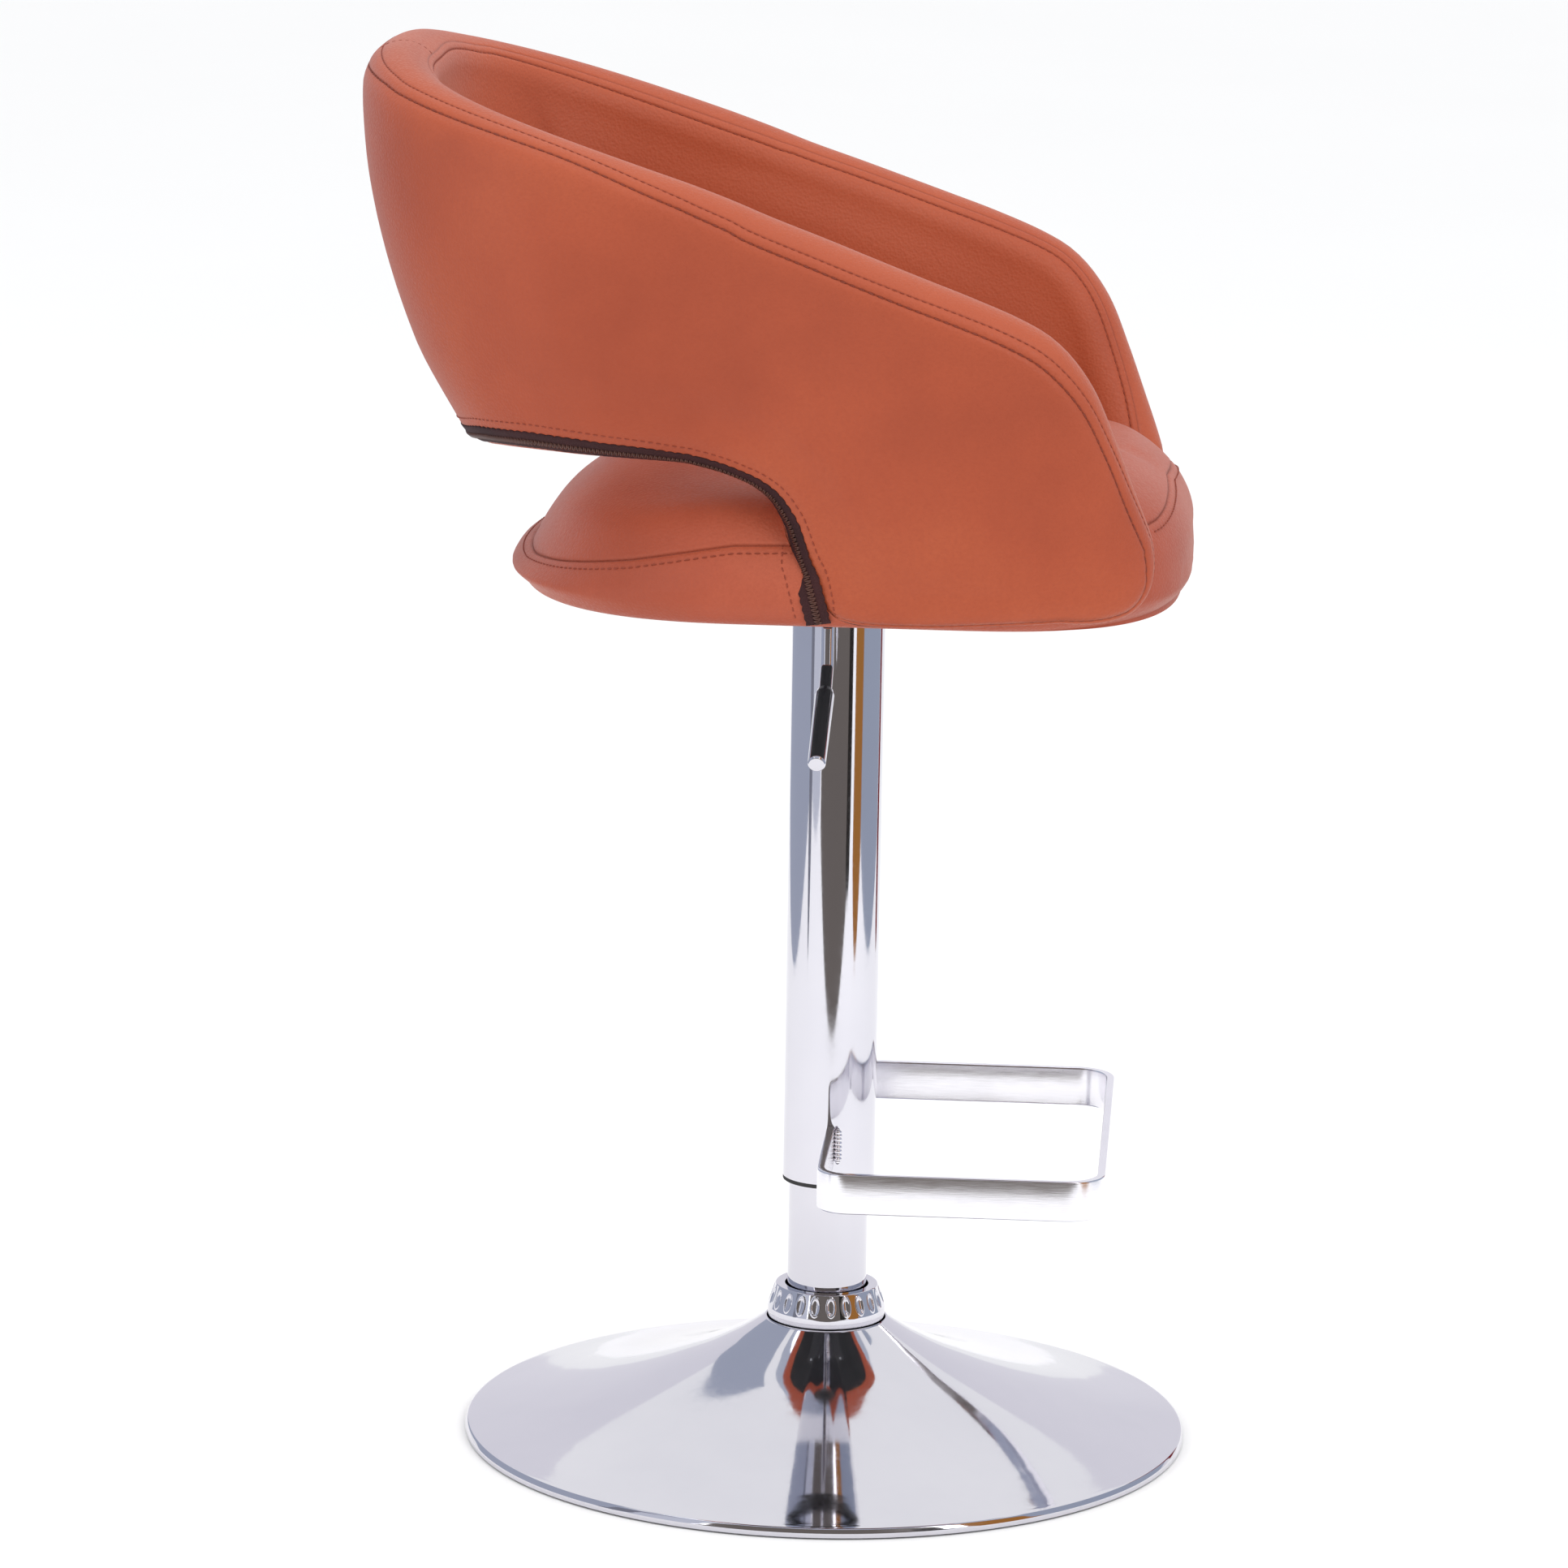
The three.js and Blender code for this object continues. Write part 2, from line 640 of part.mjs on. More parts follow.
// Paired points of the band's two edges, from the front foot of an arm to the centre of the
// back: [rim along, rim z, lower edge along, lower edge z].
const BAND_EDGES = [
  [armAlong(-174), 583, armAlong(-152), 579],
  [armAlong(-177), 605, armAlong(-138), 579],
  [armAlong(-165), 636, armAlong(-120), 579],
  [armAlong(-152), 666, armAlong(-98), 579],
  [armAlong(-135), 697, armAlong(-72), 579],
  [armAlong(-110), 720, armAlong(-44), 579],
  [armAlong(-80), 733, armAlong(-18), 580],
  [armAlong(-50), 744, armAlong(-3), 590],
  [armAlong(-20), 755, armAlong(2), 608],
  [armAlong(10), 765.5, armAlong(14), 636],
  [armAlong(40), 776, armAlong(36), 659],
  [armAlong(66), 785.5, armAlong(62), 671],
  [1, 794, 1, 676],
  [0.8, 819, 0.8, 677],
  [0.62, 832.5, 0.62, 677],
  [0.46, 842, 0.46, 675],
  [0.32, 849.5, 0.32, 672],
  [0.2, 854.5, 0.2, 670],
  [0.09, 858, 0.09, 669],
  [0, 859, 0, 669],
];

// Closed section of the band at one pair of edge points, grown by `extra` all round.
function bandSection([rimAlong, rimZ, lowAlong, lowZ], extra) {
  const half = SHELL_HALF_T + extra;
  const alongAt = (v) => lowAlong + (rimAlong - lowAlong) * v;
  const zAt = (v) => lowZ + (rimZ - lowZ) * v;
  const at = (v) => shellPoint(alongAt(v), zAt(v));
  const section = [];
  const push = (v, angle) => {
    const a = alongAt(v);
    const z = zAt(v);
    const up = at(Math.min(1, v + 0.02)).sub(at(Math.max(0, v - 0.02))).normalize();
    const side = shellPoint(a + 0.03, z).sub(shellPoint(a - 0.03, z));
    const rise = shellPoint(a, z + 2).sub(shellPoint(a, z - 2));
    const out = side.cross(rise).normalize();
    if (out.dot(at(v).setZ(0)) < 0) out.negate();
    section.push(
      at(v)
        .addScaledVector(out, half * Math.cos(angle))
        .addScaledVector(up, half * Math.sin(angle)),
    );
  };
  for (let i = 0; i <= BAND_SPANS; i++) push(i / BAND_SPANS, 0);
  for (let i = 1; i < BAND_CAP_STEPS; i++) push(1, (Math.PI * i) / BAND_CAP_STEPS);
  for (let i = BAND_SPANS; i >= 0; i--) push(i / BAND_SPANS, Math.PI);
  for (let i = 1; i < BAND_CAP_STEPS; i++) push(0, Math.PI + (Math.PI * i) / BAND_CAP_STEPS);
  return section;
}

function band(extra) {
  const half = BAND_EDGES.map((edge) => bandSection(edge, extra));
  const mirror = half
    .slice(0, -1)
    .reverse()
    .map((loop) => loop.map((p) => new THREE.Vector3(-p.x, p.y, p.z)));
  return skin([...half, ...mirror]);
}

// Foot of the shell's steel frame on the seat board.
function frameFoot() {
  const foot = shellPoint(armAlong(-88), FRAME_BEND_Z);
  return { x: foot.x - 7, y: foot.y };
}

function framePath(lowZ) {
  const foot = frameFoot();
  const side = [
    [foot.x, foot.y, lowZ],
    [foot.x, foot.y, FRAME_BEND_Z],
    ...[
      [armAlong(-86), 640],
      [armAlong(-70), 685],
      [armAlong(-30), 712],
      [armAlong(30), 728],
      [1, 742],
      [0.6, 752],
      [0.25, 758],
    ].map(([along, z]) => shellPoint(along, z).toArray()),
  ];
  const middle = shellPoint(0, 760).toArray();
  const mirror = side
    .slice()
    .reverse()
    .map(([x, y, z]) => [-x, y, z]);
  return [...side, middle, ...mirror];
}

// Pillow of stacked outlines: [inset, height] levels from the underside to the crown.
const CUSHION_LEVELS = [
  [16, SEAT_BOTTOM_Z],
  [9, 555.8],
  [4, 558.5],
  [1, 562],
  [0, SEAT_WIDEST_Z],
  [3, 579],
  [7, 590],
  [13, 600],
  [22, 611],
  [34, 620],
  [52, 628.5],
  [80, 634.5],
  [120, 638],
  [160, SEAT_TOP_Z],
];

// The top falls away towards the rear edge and is fuller at the front edge, and the underside
// is drawn back a little from the front.
function cushionPoint([x, y], z) {
  const rise = Math.max(0, (z - SEAT_WIDEST_Z) / (SEAT_TOP_Z - SEAT_WIDEST_Z));
  const under = Math.max(0, SEAT_WIDEST_Z - z);
  const rear = Math.max(0, (y - 60) / (SEAT_REAR_Y - 60));
  const front = Math.max(0, (-100 - y) / (-100 - SEAT_FRONT_Y));
  const lift = rise * (14 * front * front - 26 * rear * rear);
  return new THREE.Vector3(x, y + 0.4 * under, z + lift);
}

function cushion() {
  const loops = CUSHION_LEVELS.map(([inset, z]) =>
    seatOutline(inset, 48).map((point) => cushionPoint(point, z)),
  );
  return skin(loops);
}

function makeUpholstery() {
  const boardTop = BOARD_Z + BOARD_T;
  const pocket = plank(
    seatOutline(BOARD_INSET - GAP, 40),
    SEAT_BOTTOM_Z - 30,
    boardTop + GAP,
  );
  const armSpace = [0, 0.5, 1].map((extra) => band(extra));
  const taken = [...armSpace, zipper(1.9), pocket];
  add("seat_cushion", combine(cushion(), [], taken), "leather");

  const lowZ = boardTop + 2 * GAP;
  const tunnel = bar(framePath(lowZ - BOARD_T), FRAME_TUBE_R + 2.4, FRAME_STEPS, 8);
  add("back_shell", combine(band(0), [], [pocket, tunnel]), "leather");
  const tube = bar(framePath(lowZ), FRAME_TUBE_R, FRAME_STEPS, 8);
  const bore = bar(framePath(lowZ - 0.5), FRAME_TUBE_BORE, FRAME_STEPS, 8);
  add("shell_frame", combine(tube, [], [bore]), "steel");
  for (const [side, name] of [[-1, "right"], [1, "left"]]) {
    const { x, y } = frameFoot();
    const insert = ring(FRAME_BOLT_R + GAP, FRAME_TUBE_BORE - 1.4, lowZ + 1, lowZ + 19, 12);
    add("frame_insert_" + name, shifted(insert, side * x, y), "steel");
  }
  add("shell_zipper", zipper(1.4), "zipper");
}

// Zip along the outer lower edge of the shell, from one arm round the back to the other.
function zipper(radius) {
  const points = BAND_EDGES.slice(7).map((edge) => bandSection(edge, ZIP_PROUD).at(-1));
  const mirror = points
    .slice(0, -1)
    .reverse()
    .map((p) => new THREE.Vector3(-p.x, p.y, p.z));
  return bar([...points, ...mirror].map((p) => p.toArray()), radius, 44, 6);
}

makeBase();
makeSpindle();
makeLift();
makeSeatStructure();
makeLever();
makeUpholstery();

export default root;
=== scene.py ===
"""Looks of the bar stool with footrest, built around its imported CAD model. Lengths are metres.

The seat unit is leather over foam: a padded band that makes both arms and the backrest, and a
seat cushion, joined by a zip. Below it are the polished column, footrest, lever and base.
"""

import math
import random

import bmesh
import bpy
import numpy as np
from mathutils import Matrix, Vector
from mathutils.bvhtree import BVHTree
from mathutils.kdtree import KDTree


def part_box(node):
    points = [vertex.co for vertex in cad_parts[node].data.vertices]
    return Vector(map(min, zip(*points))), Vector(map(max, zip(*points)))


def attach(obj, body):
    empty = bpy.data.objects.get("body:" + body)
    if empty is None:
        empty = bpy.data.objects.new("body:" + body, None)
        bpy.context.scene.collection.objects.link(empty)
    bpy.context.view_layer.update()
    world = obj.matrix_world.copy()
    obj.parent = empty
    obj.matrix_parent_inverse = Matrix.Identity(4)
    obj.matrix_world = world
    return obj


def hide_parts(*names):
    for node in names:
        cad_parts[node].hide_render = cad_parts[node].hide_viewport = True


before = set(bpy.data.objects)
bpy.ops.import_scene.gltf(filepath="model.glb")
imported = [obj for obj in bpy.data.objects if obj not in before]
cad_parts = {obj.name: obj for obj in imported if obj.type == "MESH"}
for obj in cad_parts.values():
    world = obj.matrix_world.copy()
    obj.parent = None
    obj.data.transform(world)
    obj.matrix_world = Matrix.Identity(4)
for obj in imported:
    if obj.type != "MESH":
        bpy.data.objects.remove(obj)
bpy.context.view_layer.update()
scene = bpy.context.scene


def unit(v):
    return v / np.maximum(np.linalg.norm(v, axis=-1, keepdims=True), 1e-12)


def ease(t):
    """0 to 1 with a smooth start and end."""
    t = np.clip(t, 0, 1)
    return t * t * (3 - 2 * t)


# ---------- mesh helpers ----------
def linked(name, data):
    """A new object in the scene that shows the data."""
    made = bpy.data.objects.new(name, data)
    scene.collection.objects.link(made)
    return made


def new_object(name, points, faces, sharp=None):
    """A smooth mesh object. Coincident points are joined and faces turned outward."""
    mesh = bpy.data.meshes.new(name)
    faces = [list(map(int, face)) for face in faces]
    mesh.from_pydata(np.asarray(points, float).reshape(-1, 3).tolist(), [], faces)
    form = bmesh.new()
    form.from_mesh(mesh)
    bmesh.ops.remove_doubles(form, verts=form.verts, dist=1e-6)
    bmesh.ops.dissolve_degenerate(form, edges=form.edges, dist=1e-7)
    bmesh.ops.recalc_face_normals(form, faces=form.faces)
    form.to_mesh(mesh)
    form.free()
    mesh.shade_smooth()
    if sharp:
        mesh.set_sharp_from_angle(angle=math.radians(sharp))
    return linked(name, mesh)


def grid_faces(rows, columns, wrap=False):
    """Four-sided faces of a grid of points; wrap also joins each row's last point to its first."""
    r = np.arange(rows - 1)[:, None]
    c = np.arange(columns if wrap else columns - 1)[None, :]
    a = r * columns + c
    b = r * columns + (c + 1) % columns
    return np.stack([a, b, b + columns, a + columns], -1).reshape(-1, 4)


def tube_faces(rows, columns):
    """Faces of a tube made of rings, with a cap at each end."""
    last = (rows - 1) * columns
    caps = [list(range(columns))[::-1], list(range(last, last + columns))]
    return list(grid_faces(rows, columns, wrap=True)) + caps


def distance_along(line):
    """How far along a line each of its points is."""
    return np.concatenate([[0], np.cumsum(np.linalg.norm(np.diff(line, axis=0), axis=1))])


def row_at(place, places, rows):
    """The row of numbers at a place (or several), between the rows given at places."""
    return np.stack([np.interp(place, places, rows[:, k]) for k in range(rows.shape[1])], -1)


def rounded(corners, steps=5, closed=True):
    """A 2-D outline with each corner (x, y, radius) turned into an arc."""
    made = []
    count = len(corners)
    for i, (x, y, radius) in enumerate(corners):
        here = np.array([x, y], float)
        if radius <= 0 or (not closed and i in (0, count - 1)):
            made.append(here)
            continue
        before = unit(np.array(corners[i - 1][:2], float) - here)
        after = unit(np.array(corners[(i + 1) % count][:2], float) - here)
        half = math.acos(np.clip(before @ after, -1, 1)) / 2
        centre = here + unit(before + after) * radius / math.sin(half)
        first = here + before * radius / math.tan(half) - centre
        last = here + after * radius / math.tan(half) - centre
        sweep = math.acos(np.clip(unit(first) @ unit(last), -1, 1))
        for t in np.linspace(0, 1, steps + 1):
            a, b = math.sin((1 - t) * sweep), math.sin(t * sweep)
            made.append(centre + (a * first + b * last) / math.sin(sweep))
    return np.array(made)


def lathe(name, outline, count=192, closed=True, dent=None):
    """Turns an outline of (radius, z) about Z. dent(angle, z) gives a change of radius."""
    outline = np.asarray(outline, float)
    if closed:
        outline = np.vstack([outline, outline[:1]])
    angle = np.arange(count) * 2 * math.pi / count
    radius = np.repeat(outline[:, :1], count, 1)
    height = np.repeat(outline[:, 1:], count, 1)
    if dent:
        radius = radius + dent(np.broadcast_to(angle, radius.shape), height)
    points = np.stack([radius * np.cos(angle), radius * np.sin(angle), height], -1)
    return new_object(name, points, grid_faces(len(outline), count, wrap=True))


def catmull_rom(rows, count):
    """Samples of the Catmull-Rom curve through all rows but the first and the last."""
    t = np.linspace(0, len(rows) - 3, count)
    i = np.minimum(t.astype(int), len(rows) - 4)
    f = (t - i)[:, None]
    a, b, c, d = (rows[i + k] for k in range(4))
    return 0.5 * (2 * b + (c - a) * f + (2 * a - 5 * b + 4 * c - d) * f**2 + (3 * b - a - 3 * c + d) * f**3)


def curve_through(rows, count):
    """Smooth curve through rows of numbers, as count rows spaced evenly along it."""
    v = np.asarray(rows, float)
    v = np.vstack([2 * v[0] - v[1], v, 2 * v[-1] - v[-2]])
    return respaced(catmull_rom(v, 40 * len(v)), count)


def respaced(line, count):
    """The same line as count rows at even distances."""
    run = distance_along(line)
    return row_at(np.linspace(0, run[-1], count), run, line)


def densified(line, step):
    """The same line with points added so that its straight parts are cut into steps."""
    dense = [line[0]]
    for a, b in zip(line[:-1], line[1:]):
        steps = max(1, int(np.linalg.norm(b - a) / step))
        dense += [a + (b - a) * t for t in np.linspace(0, 1, steps + 1)[1:]]
    return np.array(dense)


def swept(name, path, section, up, scale=None, sharp=None):
    """Carries a closed 2-D section along a path. Section x is sideways and y is towards up."""
    path, section = np.asarray(path, float), np.asarray(section, float)
    side = unit(np.cross(unit(np.gradient(path, axis=0)), np.asarray(up, float)))
    over = np.cross(side, unit(np.gradient(path, axis=0)))
    scale = np.ones((len(path), 2)) if scale is None else np.asarray(scale, float)
    points = (path[:, None] + side[:, None] * (section[None, :, :1] * scale[:, None, :1])
              + over[:, None] * (section[None, :, 1:] * scale[:, None, 1:]))
    return new_object(name, points, tube_faces(len(path), len(section)), sharp)


def circle(radius, count):
    """Points (x, y) round a circle."""
    angle = np.arange(count) * 2 * math.pi / count
    return np.stack([radius * np.cos(angle), radius * np.sin(angle)], -1)


def joined(name, parts):
    """One mesh from several (points, faces) pairs."""
    points, faces, start = [], [], 0
    for part_points, part_faces in parts:
        points.append(np.asarray(part_points, float).reshape(-1, 3))
        faces += [[int(i) + start for i in f] for f in part_faces]
        start += len(points[-1])
    return new_object(name, np.vstack(points), faces)


def apply_modifiers(piece):
    bpy.context.view_layer.update()
    graph = bpy.context.evaluated_depsgraph_get()
    made = bpy.data.meshes.new_from_object(piece.evaluated_get(graph))
    piece.modifiers.clear()
    piece.data = made


def add_attribute(piece, name, values):
    attribute = piece.data.attributes.new(name, "FLOAT", "POINT")
    attribute.data.foreach_set("value", np.asarray(values, np.float32))


def vertex_array(piece):
    found = np.empty(len(piece.data.vertices) * 3, np.float32)
    piece.data.vertices.foreach_get("co", found)
    return found.reshape(-1, 3).astype(float)


def point_tree(points):
    """A tree that finds the nearest of the points."""
    tree = KDTree(len(points))
    for i, point in enumerate(points):
        tree.insert(point, i)
    tree.balance()
    return tree


def from_nearest(piece, grid, values, reach):
    """For each set of values on a grid of points: the value at each of the piece's vertices, taken
    from the nearest grid point, or 0 where none is within reach."""
    tree = point_tree(grid.reshape(-1, 3))
    flat = np.stack([value.reshape(-1) for value in values], -1)
    found = np.zeros((len(piece.data.vertices), len(values)))
    for i, vertex in enumerate(piece.data.vertices):
        _, nearest, distance = tree.find(vertex.co)
        if distance < reach:
            found[i] = flat[nearest]
    return found.T


# ---------- materials ----------
class Finish:
    """A node material under construction, with noise and bump in the object's own space."""

    def __init__(self, name, metallic=0.0, **sockets):
        self.material = bpy.data.materials.new(name)
        self.material.use_nodes = True
        self.tree = self.material.node_tree
        self.shader = self.tree.nodes["Principled BSDF"]
        self.shader.inputs["Metallic"].default_value = metallic
        for socket, value in sockets.items():
            self.shader.inputs[socket.replace("_", " ")].default_value = value
        self.space = self.tree.nodes.new("ShaderNodeTexCoord").outputs["Object"]
        self.last_bump = None

    def node(self, kind, inputs=(), **settings):
        made = self.tree.nodes.new(kind)
        for key, value in settings.items():
            setattr(made, key, value)
        for key, value in dict(inputs).items():
            if isinstance(value, bpy.types.NodeSocket):
                self.tree.links.new(value, made.inputs[key])
            else:
                made.inputs[key].default_value = value
        return made

    def space_scaled(self, stretch):
        return self.node("ShaderNodeMapping", {"Vector": self.space, "Scale": stretch}).outputs[0]

    def noise(self, scale, detail=3.0, roughness=0.5, stretch=(1, 1, 1), distortion=0.0):
        values = {"Vector": self.space_scaled(stretch), "Scale": scale, "Detail": detail,
                  "Roughness": roughness, "Distortion": distortion}
        return self.node("ShaderNodeTexNoise", values).outputs["Fac"]

    def cells(self, scale):
        values = {"Vector": self.space, "Scale": scale, "Smoothness": 0.35}
        return self.node("ShaderNodeTexVoronoi", values, feature="SMOOTH_F1").outputs["Distance"]

    def spread(self, value, low, high, from_low=0.3, from_high=0.7):
        values = {"Value": value, "From Min": from_low, "From Max": from_high, "To Min": low, "To Max": high}
        return self.node("ShaderNodeMapRange", values).outputs[0]

    def ramp(self, value, stops):
        made = self.node("ShaderNodeValToRGB", {"Fac": value})
        elements = made.color_ramp.elements
        for i, (place, colour) in enumerate(stops):
            element = elements[i] if i < 2 else elements.new(place)
            element.position, element.color = place, (*colour, 1)
        return made.outputs["Color"]

    def mix(self, factor, first, second):
        made = self.node("ShaderNodeMix", data_type="RGBA")
        for socket, value in ((made.inputs[0], factor), (made.inputs[6], first), (made.inputs[7], second)):
            if isinstance(value, bpy.types.NodeSocket):
                self.tree.links.new(value, socket)
            else:
                socket.default_value = value if isinstance(value, float) else (*value, 1)
        return made.outputs[2]

    def attribute(self, name):
        return self.node("ShaderNodeAttribute", attribute_name=name).outputs["Fac"]

    def colour(self, socket):
        self.tree.links.new(socket, self.shader.inputs["Base Color"])

    def rough(self, socket):
        self.tree.links.new(socket, self.shader.inputs["Roughness"])

    def bump(self, height, strength, distance):
        values = {"Height": height, "Strength": strength, "Distance": distance}
        if self.last_bump:
            values["Normal"] = self.last_bump
        self.last_bump = self.node("ShaderNodeBump", values).outputs[0]
        self.tree.links.new(self.last_bump, self.shader.inputs["Normal"])


def leather_finish(name, deep, main, lit):
    """Pebbled leather: faint clouds of three tones, with painted shade in the seam grooves, paler on worn
    edges, and paler with painted light on the rim's top and the shell's inner faces.
    """
    f = Finish(name, Specular_IOR_Level=0.34, Sheen_Weight=0.12, Sheen_Roughness=0.4)
    f.shader.inputs["Sheen Tint"].default_value = (1.0, 0.82, 0.76, 1)
    clouds = f.noise(7, detail=4, roughness=0.55)
    flecks = f.noise(360, detail=2)
    grain = f.cells(560)
    tone = f.ramp(clouds, [(0.25, deep), (0.8, lit), (0.52, main)])
    tone = f.mix(f.spread(flecks, 0.0, 0.22), tone, deep)
    tone = f.mix(f.spread(grain, 0.20, 0.0, 0.1, 0.6), tone, deep)
    # Painted light: paler on the rim's crest, which is partly wear, and on the shell's inner faces.
    tone = f.mix(f.spread(f.attribute("wear_and_painted_light"), 0.0, 0.6, 0, 1), tone, lit)
    # Painted shade: darker in the seam grooves.
    tone = f.mix(f.spread(f.attribute("groove"), 0.0, 0.50, 0, 1), tone, tuple(0.62 * c for c in deep))
    f.colour(tone)
    f.rough(f.spread(grain, 0.42, 0.58, 0.1, 0.6))
    f.bump(f.noise(60, detail=4, roughness=0.6, distortion=0.3), 0.22, 0.0012)
    f.bump(f.noise(260, detail=3), 0.30, 0.0005)
    f.bump(grain, 0.5, 0.0004)
    return f.material


def metal_finish(name, tone, dark, rough_low, rough_high, scale, bump, stretch=(1, 1, 1)):
    """Metal with smudges in its tone and fine lines in its roughness."""
    f = Finish(name, metallic=1.0)
    smudge = f.noise(9, detail=4, roughness=0.6)
    lines = f.noise(scale, detail=3, stretch=stretch)
    f.colour(f.mix(f.spread(smudge, 0.0, 0.5), tone, dark))
    f.rough(f.spread(f.mix(0.5, lines, smudge), rough_low, rough_high, 0.35, 0.65))
    f.bump(lines, bump, 0.0002)
    return f.material


def dull_finish(name, tone, dark, rough_low, rough_high, scale, bump, stretch=(1, 1, 1)):
    """Plastic, rubber, paint, wood, cloth or thread: a grain at the given scale, and dust."""
    f = Finish(name, Specular_IOR_Level=0.4)
    grain = f.noise(scale, detail=4, roughness=0.6, stretch=stretch)
    dust = f.noise(30, detail=4, roughness=0.65)
    f.colour(f.mix(f.spread(f.mix(0.5, grain, dust), 0.0, 1.0), tone, dark))
    f.rough(f.spread(grain, rough_low, rough_high))
    f.bump(grain, bump, 0.0003)
    return f.material


# ---------- shell surface: one padded band that makes both arms and the backrest ----------
SHELL_HALF = 0.023  # half the band's thickness
SHELL_BACK_Y = 0.2705
SHELL_UPRIGHT_Z = 0.845  # the back leans in below this height, by its slope and its curve
SHELL_BACK_SLOPE = 0.0623
SHELL_BACK_CURVE = 1.283
SHELL_BACK_START = 0.090
SHELL_BACK_POWER = 2.8
SHELL_BACK_WIDTH = 0.1815
SHELL_ARM_WIDTH = 0.200
SHELL_FRONT_START = -0.090
SHELL_FRONT_Y = -0.200
SHELL_FRONT_POWER = 4.0
LOW_EDGE_RADIUS = 0.015  # the arm's bottom edge is tighter than its rim
ALONG_STEP = 0.1  # metres along the arm for each 1 of along

# Matching points of the band's rim and lower edge from the centre of the back to the front of
# an arm. The first number is the share of the rounded back, or the y of a point on the arm.
BACK_EDGES = [(0, 0.8555, 0.6635), (0.09, 0.8545, 0.6640), (0.2, 0.8510, 0.6655), (0.32, 0.8460, 0.6685),
              (0.46, 0.8395, 0.6720), (0.62, 0.8305, 0.6740), (0.8, 0.8175, 0.6740), (1, 0.7930, 0.6725)]
ARM_EDGES = [(0.066, 0.7845, 0.066, 0.669), (0.040, 0.7745, 0.046, 0.6635), (0.010, 0.764, 0.029, 0.656),
             (-0.019, 0.7535, 0.014, 0.644), (-0.048, 0.743, 0.003, 0.626), (-0.077, 0.7325, -0.003, 0.607),
             (-0.106, 0.7205, -0.0075, 0.592), (-0.1235, 0.7095, -0.0105, 0.5795),
             (-0.1385, 0.690, -0.024, 0.572), (-0.1505, 0.662, -0.060, 0.5715),
             (-0.162, 0.632, -0.102, 0.574), (-0.1725, 0.604, -0.140, 0.577)]
FRONT_CORNER = (-0.179, 0.574)  # control point of the curve that joins the two ends


def shell_mid(along, z):
    """Points of the band's middle surface. along is 0 at the centre of the back and 1 where the
    rounded back ends; above 1 it goes forward along the arm, ALONG_STEP for each 1."""
    along, z = np.broadcast_arrays(np.asarray(along, float), np.asarray(z, float))
    lean = 1 - 0.05 * np.clip((0.780 - z) / 0.200, 0, 1)
    drop = np.maximum(0, SHELL_UPRIGHT_Z - z)
    tuck = 0.006 * ease((0.715 - z) / 0.060)
    back_y = SHELL_BACK_Y - SHELL_BACK_SLOPE * drop - SHELL_BACK_CURVE * drop**2 - tuck
    arm_y = SHELL_BACK_START - (along - 1) * ALONG_STEP
    t = np.clip((SHELL_BACK_START - arm_y) / (SHELL_BACK_START - SHELL_FRONT_START), 0, 1)
    width = SHELL_BACK_WIDTH + (SHELL_ARM_WIDTH - SHELL_BACK_WIDTH) * t * t * (3 - 2 * t)
    front = np.clip((SHELL_FRONT_START - arm_y) / (SHELL_FRONT_START - SHELL_FRONT_Y), 0, 1)
    width = width * (1 - front**SHELL_FRONT_POWER) ** (1 / SHELL_FRONT_POWER)
    angle = np.clip(along, 0, 1) * np.pi / 2
    power = 2 / SHELL_BACK_POWER
    on_back = along < 1
    x = np.where(on_back, SHELL_BACK_WIDTH * np.abs(np.sin(angle)) ** power, width) * lean
    y_back = SHELL_BACK_START + (back_y - SHELL_BACK_START) * np.abs(np.cos(angle)) ** power
    return np.stack([x, np.where(on_back, y_back, arm_y), z], -1)


def along_table():
    """Samples of along with the distance run from the centre of the back."""
    t = np.linspace(0, 1, 3000)
    back = t**1.4 / (t**1.4 + (1 - t) ** 1.4)
    along = np.concatenate([back, np.linspace(1, 3.88, 1500)[1:]])
    return along, distance_along(shell_mid(along, 0.75))


ALONG, RUN = along_table()


def run_at(y):
    """Distance from the centre of the back to the place on an arm at y."""
    return np.interp(1 + (SHELL_BACK_START - y) / ALONG_STEP, ALONG, RUN)


def band_point(run, z):
    """A point of the middle surface; run is negative on the sitter's right (-X)."""
    run = np.asarray(run, float)
    point = shell_mid(np.interp(np.abs(run), RUN, ALONG), z)
    point[..., 0] *= np.where(run < 0, -1, 1)
    return point


def band_out(run, z):
    """Outward unit normal of the middle surface."""
    step = 0.0015
    across = band_point(np.add(run, step), z) - band_point(np.subtract(run, step), z)
    rise = band_point(run, np.add(z, step)) - band_point(run, np.subtract(z, step))
    return unit(np.cross(rise, across))


def band_edges(count):
    """Rows of (rim run, rim z, low run, low z) from the centre of the back to an arm's front."""
    rows = [(np.interp(a, ALONG, RUN), rim, np.interp(a, ALONG, RUN), low) for a, rim, low in BACK_EDGES]
    rows += [(run_at(yr), zr, run_at(yl), zl) for yr, zr, yl, zl in ARM_EDGES]
    rows = np.array(rows, float)
    mirror = rows[1] * [-1, 1, -1, 1]
    dense = catmull_rom(np.vstack([mirror, rows, 2 * rows[-1] - rows[-2]]), 4000)
    step = np.diff(dense, axis=0)
    step = np.hypot(step[:, 0], step[:, 1]) + np.hypot(step[:, 2], step[:, 3])
    travelled = np.concatenate([[0], np.cumsum(step)])
    return row_at(np.linspace(0, travelled[-1], count), travelled, dense)


U_COUNT = 150  # points along half the band
V_COUNT = 44  # points across its face
CORNER = U_COUNT - 1  # the rim's front end and the foot, as places on the edge loop
FOOT = U_COUNT + V_COUNT - 2


